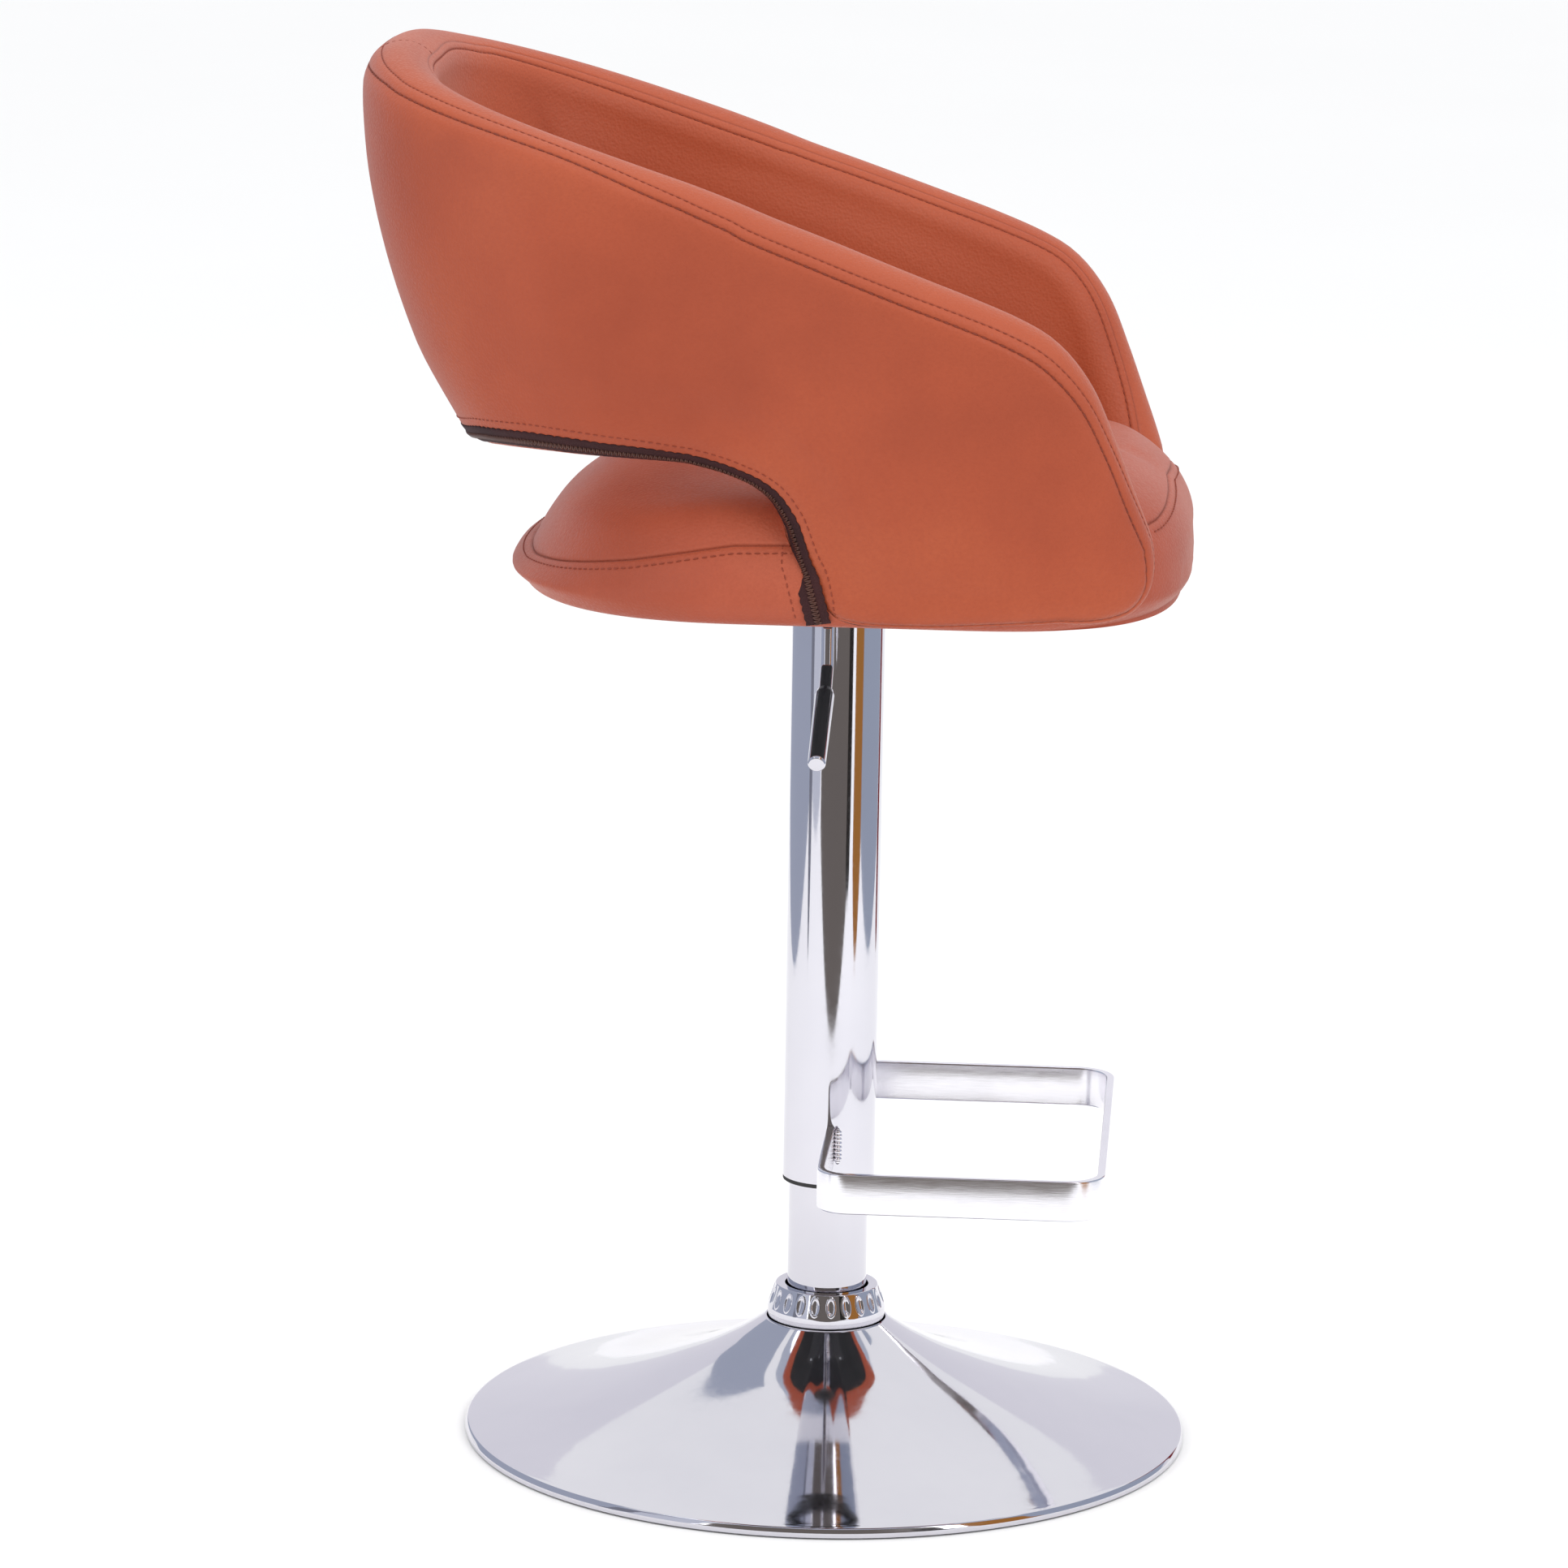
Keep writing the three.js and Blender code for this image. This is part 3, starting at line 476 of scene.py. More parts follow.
def front_curve(count):
    """(run, z) along the arm's front corner, from the lower edge up to the rim."""
    rim_run, rim_z, low_run, low_z = EDGES[-1]
    corner = np.array([run_at(FRONT_CORNER[0]), FRONT_CORNER[1]])
    v = np.linspace(0, 1, count)[:, None]
    low, rim = np.array([low_run, low_z]), np.array([rim_run, rim_z])
    return (1 - v) ** 2 * low + 2 * v * (1 - v) * corner + v**2 * rim


EDGES = band_edges(U_COUNT)


def face_plan(rim, front, low):
    """(run, z) grid of one half of a face between its rim and lower line; columns go up to the
    rim, and the last rows bend to follow the front line."""
    v = np.linspace(0, 1, V_COUNT)
    plan = low[:, None] + (rim - low)[:, None] * v[None, :, None]
    bulge = front - plan[-1]
    weight = np.clip((np.arange(U_COUNT) / (U_COUNT - 1) - 0.86) / 0.14, 0, 1) ** 2
    return plan + weight[:, None, None] * bulge[None]


def edge_loop():
    """(run, z, radius, power) round one half of the band's edge, from the rim's centre forward,
    round the arm's front corner, and back along the lower edge to its centre."""
    plan = face_plan(EDGES[:, :2], front_curve(V_COUNT), EDGES[:, 2:])
    rim, front, low = plan[:, -1], plan[-1, ::-1][1:-1], plan[::-1, 0]
    line = np.vstack([rim, front, low])
    low_share = np.concatenate([np.zeros(len(rim)), np.linspace(0, 1, len(front)), np.ones(len(low))])
    tight = low_share * (1 - ease((line[:, 1] - 0.571) / 0.045))
    radius = SHELL_HALF + (LOW_EDGE_RADIUS - SHELL_HALF) * tight
    return np.column_stack([line, radius, 2 + 1.2 * tight])


HALF_LOOP = edge_loop()
LOOP = np.vstack([HALF_LOOP, (HALF_LOOP * [-1, 1, 1, 1])[-2:0:-1]])
LOOP_MID = band_point(LOOP[:, 0], LOOP[:, 1])
LOOP_OUT = band_out(LOOP[:, 0], LOOP[:, 1])
LOOP_SIDE = unit(np.cross(np.roll(LOOP_MID, -1, 0) - np.roll(LOOP_MID, 1, 0), LOOP_OUT))


def edge_point(index, turn, proud=0.0):
    """Point and normal on the padded edge. index is a place on the loop, turn is the angle in
    radians from the outer face (0) over the edge (pi/2) to the inner face (pi)."""
    index, turn, proud = np.broadcast_arrays(*(np.asarray(a, float) for a in (index, turn, proud)))
    base = np.floor(index).astype(int)
    f = (index - base)[..., None]
    i, j = base % len(LOOP), (base + 1) % len(LOOP)
    mid, out, side = ((1 - f) * a[i] + f * a[j] for a in (LOOP_MID, LOOP_OUT, LOOP_SIDE))
    radius = (1 - f) * LOOP[i, 2:3] + f * LOOP[j, 2:3]
    power = 2 / ((1 - f) * LOOP[i, 3:4] + f * LOOP[j, 3:4])
    c, s = np.cos(turn)[..., None], np.sin(turn)[..., None]
    lift_out = np.sign(c) * np.abs(c) ** power
    lift_side = np.sign(s) * np.abs(s) ** power
    normal = unit(out * np.sign(c) * np.abs(c) ** (2 - power) / SHELL_HALF
                  + side * np.sign(s) * np.abs(s) ** (2 - power) / radius)
    return mid + out * SHELL_HALF * lift_out + side * radius * lift_side + normal * proud[..., None], normal


# ---------- padded edge rows with seams ----------
# Seams on the band's edge: (place on the loop, degrees from the outer face). Place 0 is the rim
# at the centre of the back, 1 an arm's front top, 2 its foot, 3 the lower edge's centre.
SEAM_OUTER = [(0, 22), (0.06, 27), (0.12, 36), (0.2, 45), (0.3, 47), (0.37, 46), (0.41, 38), (0.45, 29),
              (0.5, 24), (0.62, 23), (0.79, 22), (0.85, 29), (0.91, 25), (0.97, 13), (1.03, 7), (1.23, 7),
              (1.42, 19), (1.6, 34), (2, 44), (3, 44)]
SEAM_UPPER = [(0, 55), (0.05, 58), (0.16, 61), (0.24, 67), (0.33, 68), (0.38, 64), (0.43, 52), (0.49, 41),
              (0.62, 40), (0.79, 42), (0.86, 49), (0.92, 47), (1.03, 38), (1.23, 38), (1.42, 46),
              (1.6, 56), (2, 64), (3, 64)]
SEAM_INNER = [(0, 142), (0.1, 135), (0.3, 131), (0.7, 128), (0.85, 119), (0.95, 109), (3, 104)]
SEAM_FACE = [(0, 154), (0.12, 148), (0.7, 144), (0.85, 133), (0.95, 122), (3, 117)]
SEAMS = (SEAM_OUTER, SEAM_UPPER, SEAM_INNER, SEAM_FACE)
GROOVE_DEPTHS = [0.0011, 0.0004, 0.0004, 0.0009]
GROOVE_HALF = math.radians(2.2)
FACE_INSET = math.radians(14)


def loop_place():
    """Place (0 to 3) of each point of the loop, the same on both sides."""
    rim, front = U_COUNT, V_COUNT - 2
    on_front = 1 + np.linspace(0, 1, front + 2)[1:-1]
    half = np.concatenate([np.linspace(0, 1, rim), on_front, np.linspace(2, 3, rim)])
    return np.concatenate([half, half[-2:0:-1]])


PLACE = loop_place()


def seam_turn(seam, place):
    """Turn of a seam at a place, with the table's corners rounded off."""
    reach = np.linspace(-0.05, 0.05, 9)
    weight = np.exp(-((reach / 0.025) ** 2))
    near = np.asarray(place, float)[..., None] + reach
    angle = np.interp(np.abs(near), *zip(*seam))
    return np.radians((angle * weight).sum(-1) / weight.sum())


def edge_rows():
    """Turn angles, groove depths and fillings of the edge's rows, each with a value per loop point."""
    seams = [seam_turn(seam, PLACE) for seam in SEAMS]
    fade = [1 - ease((PLACE - 2.1) / 0.15), 1 - ease((PLACE - 1.9) / 0.2)]
    fade += [1 - ease((PLACE - 1.6) / 0.2)] * 2
    turns, grooves, fills = [], [], []
    stops = [np.full(len(PLACE), -FACE_INSET)] + seams + [np.full(len(PLACE), math.pi)]
    between = [4, 5, 22, 3, 7]  # rows between the stops, and how far the leather swells there
    plump = [0.0, 0.0005, 0.0002, 0.0003, 0.0]
    for k, steps in enumerate(between):
        first = stops[k] + (GROOVE_HALF if k > 0 else 0)
        last = stops[k + 1] - (GROOVE_HALF if k < 4 else 0)
        for t in np.linspace(0, 1, steps + 1):
            turns.append(first + (last - first) * t)
            grooves.append(np.zeros(len(PLACE)))
            fills.append(np.full(len(PLACE), plump[k] * math.sin(math.pi * t) ** 0.7))
        if k < 4:
            for share, depth in ((-0.5, 0.45), (0, 1), (0.5, 0.45)):
                turns.append(seams[k] + share * GROOVE_HALF)
                grooves.append(depth * fade[k])
                fills.append(-depth * fade[k] * GROOVE_DEPTHS[k])
    return np.array(turns), np.array(grooves), np.array(fills)


def face_point(plan, level):
    """Points over a (run, z) plan, at a level outward from the band's middle surface."""
    run, z = plan[..., 0], plan[..., 1]
    return band_point(run, z) + band_out(run, z) * level


def shell_mesh(name, grown=0.0, detailed=True, shift=None):
    """The whole padded band as one closed mesh. shift(points) says how far its faces swell."""
    if detailed:
        turns, grooves, fills = edge_rows()
    else:
        turns = np.linspace(-FACE_INSET, math.pi, 17)[:, None] + np.zeros(len(LOOP))
        grooves = fills = np.zeros(turns.shape)
    index = np.broadcast_to(np.arange(len(LOOP)), turns.shape)
    strip, _ = edge_point(index, turns, fills + grown)
    step = np.roll(LOOP[:, :2], -1, 0) - np.roll(LOOP[:, :2], 1, 0)
    plan_side = unit(np.stack([-step[:, 1], step[:, 0]], -1))
    # The rows before the edge's turn begins lie on the outer face.
    flat = (turns < 0)[..., None]
    plan = LOOP[:, :2] + plan_side * np.where(flat, 1, 0) * (turns * LOOP[:, 2])[..., None]
    strip = np.where(flat, face_point(plan, SHELL_HALF + grown + fills[..., None]), strip)
    parts = [(strip, grid_faces(len(turns), len(LOOP), wrap=True))]
    height = np.arange(V_COUNT) / (V_COUNT - 1)
    for level, inset in ((SHELL_HALF + grown, FACE_INSET), (-SHELL_HALF - grown, 0)):
        border = LOOP[:, :2] - plan_side * inset * LOOP[:, 2:3]
        face = face_plan(border[:U_COUNT], border[CORNER:FOOT + 1][::-1], border[FOOT:len(HALF_LOOP)][::-1])
        face = np.concatenate([face[:0:-1] * [-1, 1], face])
        points = face_point(face, level)
        if shift is not None:
            middle = (len(face) - 1) / 2
            length = np.abs(np.arange(len(face)) - middle) / middle
            inside = ease(height / 0.25) * ease((1 - height) / 0.25)
            free = ease((1 - length) / 0.15)[:, None] * inside[None]
            points = points + shift(points) * free[..., None]
        parts.append((points, grid_faces(len(face), V_COUNT)))
    piece = joined(name, parts)
    if detailed:
        mark_shell(piece, strip, grooves, turns)
    return piece


def mark_shell(piece, strip, grooves, turns):
    """Writes how deep in a seam each point of the leather is, which the finish darkens as painted shade, and
    how much paler it is painted: worn and with painted light on the rim's crest, and with painted light on
    the inner faces.
    """
    # The rim's crest is made paler: partly wear, partly painted light from above.
    ridge = np.exp(-(((turns - math.radians(75)) / math.radians(42)) ** 2)) * (1 - ease((PLACE - 1.8) / 0.3))
    groove, wear_and_painted_light = from_nearest(piece, strip, (grooves, ridge), 0.0008)
    # The faces inside the shell are painted paler than the outer ones: painted light on faces that the lamps
    # leave in shade.
    co = vertex_array(piece)
    normal = np.empty(co.size, np.float32)
    piece.data.vertex_normals.foreach_get("vector", normal)
    away = np.maximum(np.linalg.norm(co[:, :2], axis=1), 0.05)
    inward = -(normal.reshape(-1, 3) * co)[:, :2].sum(-1) / away
    add_attribute(piece, "groove", groove)
    add_attribute(piece, "wear_and_painted_light", np.maximum(wear_and_painted_light, 0.9 * ease((inward - 0.2) / 0.5)))


# ---------- stitches ----------
def bead(length, radius, sides=8):
    """Points and faces of one stitch along X: a short thread that dips at both ends."""
    stations = [(-0.5, 0.35), (-0.44, 0.8), (-0.25, 1.0), (0, 1.05), (0.25, 1.0), (0.44, 0.8), (0.5, 0.35)]
    angle = np.arange(sides) * 2 * math.pi / sides
    points = [[x * length, r * radius * math.cos(a), r * radius * math.sin(a) - 0.9 * radius * (2 * x) ** 4]
              for x, r in stations for a in angle]
    return np.array(points), tube_faces(len(stations), sides)


def bead_mesh(name, shape, faces, places):
    """One mesh of a bead at many places, each a centre and the bead's three axes."""
    points = [centre + shape @ axes for centre, axes in places]
    polygons = [[int(i) + k * len(shape) for i in f] for k in range(len(places)) for f in faces]
    mesh = bpy.data.meshes.new(name)
    mesh.from_pydata(np.vstack(points).tolist(), [], polygons)
    mesh.shade_smooth()
    return linked(name, mesh)


def stitches(name, lines, length, gap, radius, finish):
    """One piece of all the stitches along lines, each a pair of arrays (points, normals)."""
    shape, faces = bead(length, radius)
    dice = random.Random(len(lines) * 31 + int(1e5 * length))
    places = []
    for line, normals in lines:
        run = distance_along(line)
        count = int(run[-1] / (length + gap))
        for k in range(count):
            at = (k + 0.5) * run[-1] / count
            ends = row_at([at - length / 2, at + length / 2], run, line)
            normal = unit(row_at(at, run, normals))
            along = unit(ends[1] - ends[0])
            side = unit(np.cross(normal, along))
            along = unit(along + side * dice.uniform(-0.05, 0.05))
            normal = np.cross(along, side)
            size = dice.uniform(0.93, 1.05)
            centre = np.mean(ends, axis=0) + normal * radius * dice.uniform(0.05, 0.25)
            places.append((centre, np.stack([along * size, side, normal])))
    return dress(bead_mesh(name, shape, faces, places), "carriage", "leather", finish)


def dress(piece, body, slot, finish, *nodes):
    """Gives a piece its finish and body, and hides the CAD nodes it stands for. The slot argument is not
    used.
    """
    piece.data.materials.clear()
    piece.data.materials.append(finish)
    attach(piece, body)
    if nodes:
        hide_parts(*nodes)
    return piece


def edge_line(places, seam, proud, side):
    """Points and normals along a seam of the band's edge on one side."""
    index = np.interp(places, PLACE[:len(HALF_LOOP)], np.arange(len(HALF_LOOP)))
    points, normals = edge_point(index, seam_turn(seam, places), proud)
    flip = np.array([side, 1, 1])
    return points * flip, normals * flip


# ---------- cloth: how far air pressure moves the padding ----------
def swelling(name, build, cap):
    """Remeshes a copy of a piece, lets cloth under pressure settle on it, and returns a function
    that gives the movement of the skin at any points."""
    copy = build(name)
    remesh = copy.modifiers.new("remesh", "REMESH")
    remesh.mode, remesh.voxel_size, remesh.use_smooth_shade = "VOXEL", 0.006, True
    apply_modifiers(copy)
    rest = vertex_array(copy)
    cloth = copy.modifiers.new("cloth", "CLOTH")
    cloth.settings.quality = 4
    cloth.settings.use_pressure = True
    cloth.settings.uniform_pressure_force = 4
    cloth.settings.tension_stiffness = cloth.settings.compression_stiffness = 12
    cloth.settings.bending_stiffness = 1.5
    cloth.settings.effector_weights.gravity = 0
    cloth.point_cache.frame_start, cloth.point_cache.frame_end = 1, 20
    for step in range(1, 21):
        scene.frame_set(step)
    apply_modifiers(copy)
    moved = vertex_array(copy) - rest
    scene.frame_set(1)
    bpy.data.objects.remove(copy)
    moved *= np.minimum(1, cap / np.maximum(np.linalg.norm(moved, axis=1, keepdims=True), 1e-9))
    tree = point_tree(rest)

    def at(points):
        given = np.asarray(points, float)
        found = np.zeros((given.size // 3, 3))
        for i, point in enumerate(given.reshape(-1, 3)):
            near = tree.find_n(point, 6)
            share = np.array([1 / (d + 0.0015) for _, _, d in near])
            found[i] = (moved[[k for _, k, _ in near]] * share[:, None]).sum(0) / share.sum()
        return found.reshape(given.shape)

    return at


# ---------- seat cushion ----------
SEAT_HALF_WIDTH = 0.205
SEAT_REAR = (0.040, 0.199, 2.5)  # where the rounding starts, how far it goes, and its squareness
SEAT_FRONT = (-0.080, -0.2235, 3.0)
SEAT_FALL_Y = 0.060  # the crown falls away behind this, and swells up in front of the next
SEAT_RISE_Y = -0.100
SEAT_WIDEST_Z = 0.566
SEAT_TOP_Z = 0.639
# Side of the cushion from the hem to the crown: (inset from the widest outline, z).
SEAT_SIDE = [(0.0155, 0.5540), (0.009, 0.5558), (0.004, 0.5585), (0.001, 0.562), (0, 0.566), (0.001, 0.572),
             (0.003, 0.579), (0.0065, 0.590), (0.0125, 0.600), (0.0215, 0.611), (0.034, 0.620),
             (0.052, 0.6285), (0.080, 0.6345), (0.120, 0.638)]
# Height of the cushion's seam: (distance round the cushion as a share of half its girth from the
# rear centre to the front centre, z)
SEAT_SEAM = [(0, 0.577), (0.12, 0.580), (0.2, 0.585), (0.3, 0.592), (0.4, 0.602), (0.6, 0.606),
             (0.72, 0.606), (0.82, 0.607), (0.9, 0.611), (1, 0.614)]
SEAT_SEAM_HALF = 0.0013  # half the width of the seam's groove, and its depth


def seat_outline(places, inset):
    """Points (x, y) of the +X half of the outline, set in from the widest one."""
    kind, value = places[:, 0], places[:, 1]
    half = SEAT_HALF_WIDTH - inset
    made = np.zeros((len(places), 2))
    for code, (start, end, power) in ((0, SEAT_REAR), (2, SEAT_FRONT)):
        chosen = kind == code
        s, c = np.sin(value[chosen]), np.cos(value[chosen])
        reach = (abs(end - start) - inset) * np.sign(end - start)
        made[chosen, 0] = half * np.abs(s) ** (2 / power)
        made[chosen, 1] = start + reach * np.abs(c) ** (2 / power)
    made[kind == 1, 0] = half
    made[kind == 1, 1] = value[kind == 1]
    return made


def seat_places(count):
    """Evenly spaced places on the +X half of the outline, from rear centre to front centre. Each is
    the part of the outline (0 rear, 1 side, 2 front) and the angle or y within it."""
    angle = np.linspace(0, math.pi / 2, 900)
    share = angle / (math.pi / 2)
    angle = np.unique(np.concatenate([share**1.6, 1 - (1 - share) ** 1.6]) * math.pi / 2)
    rear = np.stack([np.zeros(len(angle)), angle], -1)
    side = np.stack([np.ones(80), np.linspace(SEAT_REAR[0], SEAT_FRONT[0], 82)[1:-1]], -1)
    front = np.stack([np.full(len(angle), 2), angle[::-1]], -1)
    fine = np.vstack([rear, side, front])
    run = distance_along(seat_outline(fine, 0))
    return fine[np.searchsorted(run, np.linspace(0, run[-1], count)).clip(0, len(fine) - 1)]


SEAT_PLACES = seat_places(211)
SEAT_SHARES = np.linspace(0, 1, len(SEAT_PLACES))
SEAT_PROFILE = curve_through(SEAT_SIDE, 900)
SEAT_RUN = distance_along(SEAT_PROFILE)
SEAT_SEAM_RUN = np.interp(np.interp(SEAT_SHARES, *zip(*SEAT_SEAM)), SEAT_PROFILE[:, 1], SEAT_RUN)


def seat_ring(run):
    """The +X half of a line round the cushion, run metres up its side at each place."""
    inset, z = row_at(run, SEAT_RUN, SEAT_PROFILE).T
    return np.array([[*seat_outline(SEAT_PLACES[i:i + 1], inset[i])[0], z[i]] for i in range(len(z))])


def seat_form(points):
    """Bends plain cushion points: the front swells up and the rear falls away."""
    x, y, z = points[..., 0], points[..., 1], points[..., 2]
    rise = np.clip((z - SEAT_WIDEST_Z) / (SEAT_TOP_Z - SEAT_WIDEST_Z), 0, 1)
    under = np.maximum(0, SEAT_WIDEST_Z - z)
    rear = np.clip((y - SEAT_FALL_Y) / 0.139, 0, 1)
    front = np.clip((SEAT_RISE_Y - y) / 0.124, 0, 1)
    lift = rise * (0.014 * front**2 - 0.032 * rear**2)
    tuck = 0.009 * rear * ease((z - 0.563) / 0.020)
    fold = front * (0.003 - 0.006 * ease((z - 0.575) / 0.040))
    return np.stack([x, y + 0.4 * under - tuck + fold, z + lift], -1)


def seat_skin(detailed):
    """Rows of the cushion's outer skin from the hem to the crown, each a closed ring of points,
    with groove depth and filling for every point, and the number of rows below the seam."""
    below, above = 26, 46
    rows, groove, fill = [], [], []

    def add(run, depth, plump):
        rows.append(seat_ring(run))
        groove.append(np.full(len(SEAT_PLACES), depth))
        fill.append(np.full(len(SEAT_PLACES), plump))

    for t in np.linspace(0, 1, below):
        add(t * (SEAT_SEAM_RUN - SEAT_SEAM_HALF), 0, 0.0012 * math.sin(math.pi * t) ** 0.8)
    if detailed:
        for offset, depth in ((-0.5, 0.5), (0, 1), (0.5, 0.5)):
            add(SEAT_SEAM_RUN + offset * SEAT_SEAM_HALF, depth, -SEAT_SEAM_HALF * depth)
    for t in np.linspace(0, 1, above) ** 1.15:
        run = SEAT_SEAM_RUN + SEAT_SEAM_HALF + t * (SEAT_RUN[-1] - SEAT_SEAM_RUN - SEAT_SEAM_HALF)
        add(run, 0, 0.0008 * math.sin(math.pi * min(1, 3 * t)))

    def whole(half):
        return np.concatenate([half, half[:, -2:0:-1]], 1)

    rows = seat_form(np.array(rows))
    ring = np.concatenate([rows, (rows * [-1, 1, 1])[:, -2:0:-1]], 1)
    return ring, whole(np.array(groove)), whole(np.array(fill)), below


def free_share(count, below):
    """How much each row of the skin may swell, 0 to 1: not at the hem, the seam or the stitching."""
    row = np.arange(count)
    under = ease(row / 8) * ease((below * 0.62 - row) / 8)
    over = ease((row - below - 5) / 14)
    return np.where(row < below, under, over)


def seat_mesh(name, shift=None, detailed=True):
    """The cushion as a closed mesh, with a pocket underneath for the board it is wrapped round."""
    ring, groove, fill, below = seat_skin(detailed)
    across = np.roll(ring, -1, 1) - np.roll(ring, 1, 1)
    up = np.gradient(ring, axis=0)
    normal = unit(np.cross(across, up))
    if np.sum(normal[10] * (ring[10] - ring[10].mean(0))) < 0:
        normal = -normal
    ring = ring + normal * fill[..., None]
    if shift is not None:
        ring = ring + shift(ring) * free_share(len(ring), below)[:, None, None]
    # The crown closes over the top ring, and the hem turns in round the pocket.
    crown = []
    top = ring[-1]
    middle = np.array([0, -0.012, top[:, 2].mean() + 0.0012])
    for t in np.linspace(0, 1, 22)[1:]:
        line = middle + (top - middle) * (1 - t)
        line[:, 2] = top[:, 2] + (middle[2] - top[:, 2]) * ease(t) * t
        crown.append(line)
    hem = []
    for inset, z in ((0.0345, 0.5542), (0.0355, 0.5545), (0.0355, 0.5551), (0.0345, 0.5554), (0.0115, 0.5554),
                     (0.0115, 0.5684), (0.06, 0.5684), (0.12, 0.5684)):
        half = seat_outline(SEAT_PLACES, inset)
        line = np.column_stack([half, np.full(len(half), z)])
        hem.append(np.concatenate([line, (line * [-1, 1, 1])[-2:0:-1]]))
    rows = np.concatenate([np.array(hem[::-1]), ring, np.array(crown)])
    count = rows.shape[1]
    faces = list(grid_faces(len(rows), count, wrap=True))
    faces.append(list(range(count)))
    piece = new_object(name, rows, faces)
    if detailed:
        # The finish darkens the seam's groove as painted shade.
        (depths,) = from_nearest(piece, ring, (groove,), 0.0006)
        add_attribute(piece, "groove", depths)
        add_attribute(piece, "wear_and_painted_light", np.zeros(len(depths)))
    return piece


def smooth_spot(piece, chosen, rounds):
    """Evens out the points of a mesh that chosen(point) picks."""
    mesh = bmesh.new()
    mesh.from_mesh(piece.data)
    spot = [v for v in mesh.verts if chosen(v.co)]
    axes = {"use_axis_x": True, "use_axis_y": True, "use_axis_z": True}
    for _ in range(rounds):
        bmesh.ops.smooth_vert(mesh, verts=spot, factor=0.5, **axes)
    mesh.to_mesh(piece.data)
    mesh.free()


def cut_away(piece, cutter):
    """Takes the cutter's solid out of a piece."""
    cut = piece.modifiers.new("cut", "BOOLEAN")
    cut.operation, cut.solver, cut.object = "DIFFERENCE", "EXACT", cutter
    apply_modifiers(piece)
    bpy.data.objects.remove(cutter)
    piece.data.shade_smooth()
    piece.data.set_sharp_from_angle(angle=math.radians(50))


def seat_line(offset, first, last, count, side):
    """Points and normals on the skin that follow the cushion's seam, offset up the skin."""
    wanted = np.linspace(first, last, count)

    def at(lift):
        return row_at(wanted, SEAT_SHARES, seat_form(seat_ring(SEAT_SEAM_RUN + lift)))

    line, above = at(offset), at(offset + 0.002)
    normal = unit(np.cross(np.gradient(line, axis=0), above - line))
    outward = np.sign(np.sum(normal * (line - [0, -0.01, 0.57]) * [1, 1, 0], axis=-1, keepdims=True))
    flip = np.array([side, 1, 1])
    return (line + normal * outward * 0.0008) * flip, normal * outward * flip


# ---------- polished metal ----------
def base_outline():
    """(radius, z) of the base: its trumpet-shaped top, its rolled rim and the sheet's underside."""
    top = curve_through([(0.0378, 0.0750), (0.0500, 0.0668), (0.0600, 0.0607), (0.0750, 0.0527),
                         (0.0900, 0.04593), (0.1100, 0.03785), (0.1300, 0.03061), (0.1500, 0.02415),
                         (0.1650, 0.01982), (0.1800, 0.01595), (0.1900, 0.01362), (0.2000, 0.01148),
                         (0.2100, 0.00952), (0.2225, 0.0073)], 140)
    rim = rounded([(0.2225, 0.0073, 0), (0.2264, 0.0067, 0.002), (0.2280, 0.0040, 0.0018),
                   (0.2276, 0.0009, 0.0004), (0.2262, 0.0009, 0.0004), (0.2262, 0.0036, 0.001),
                   (0.2220, 0.0056, 0)], closed=False)
    inner = (top * [1, 1] - [0.0004, 0.0014])[::-1]
    return np.vstack([top, rim[1:-1], inner])


def collar_dents(angle, z):
    """Oval dimples with raised rims round the collar's cone."""
    count, low, high = 22, 0.0817, 0.0964
    half_width, half_height, depth, rim = 0.0024, 0.0050, 0.0008, 0.0003
    centre = (low + high) / 2 + 0.0002
    turn = (angle * count / (2 * math.pi)) % 1 - 0.5
    sideways = turn * 2 * math.pi * 0.0345 / count / half_width
    away = np.hypot(sideways, (z - centre) / half_height)
    bowl = -depth * np.maximum(0, 1 - away**2) ** 0.8
    lip = rim * np.exp(-(((away - 1.14) / 0.15) ** 2))
    on_cone = ease((z - low) / 0.0008) * ease((high - z) / 0.0008)
    return (bowl + lip) * on_cone


def collar_outline():
    """(radius, z) of the collar: its dimpled cone, its flat top and its straight bore."""
    low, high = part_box("collar")[0].z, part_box("collar")[1].z
    cone = np.linspace((0.0370, 0.0817), (0.0322, 0.0962), 64)
    top = rounded([(0.0322, 0.0962, 0), (0.0317, high, 0.0005), (0.0262, high, 0.0008), (0.0262, low, 0.0002),
                   (0.0368, low, 0.0006), (0.0370, 0.0786, 0.0002), (0.0370, 0.0817, 0)], closed=False)
    return np.vstack([cone, top[1:-1]])


def cover_piece():
    """The telescoping cover, with a notch at its top for the lever."""
    low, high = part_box("cover_tube")[0].z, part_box("cover_tube")[1].z
    radius, notch_z, notch_half = 0.0290, 0.5360, 0.0062
    columns = 180
    step = 2 * math.pi / columns
    heights = np.concatenate([np.linspace(low, notch_z, 30), np.linspace(notch_z, high, 5)[1:]])
    angle = np.arange(columns) * step
    ring = (radius * np.cos(angle), radius * np.sin(angle), heights[:, None])
    points = np.stack(np.broadcast_arrays(*ring), -1)
    faces = []
    for quad in grid_faces(len(heights), columns, wrap=True):
        row, column = divmod(int(quad[0]), columns)
        middle = (column + 0.5) * step - math.pi
        if not (heights[row] >= notch_z - 1e-6 and abs(middle) * radius < notch_half):
            faces.append(list(quad))
    piece = new_object("cover_tube_polished", points, faces)
    wall = piece.modifiers.new("wall", "SOLIDIFY")
    wall.thickness, wall.offset = 0.0016, -1
    apply_modifiers(piece)
    piece.data.shade_smooth()
    piece.data.set_sharp_from_angle(angle=math.radians(40))
    return piece


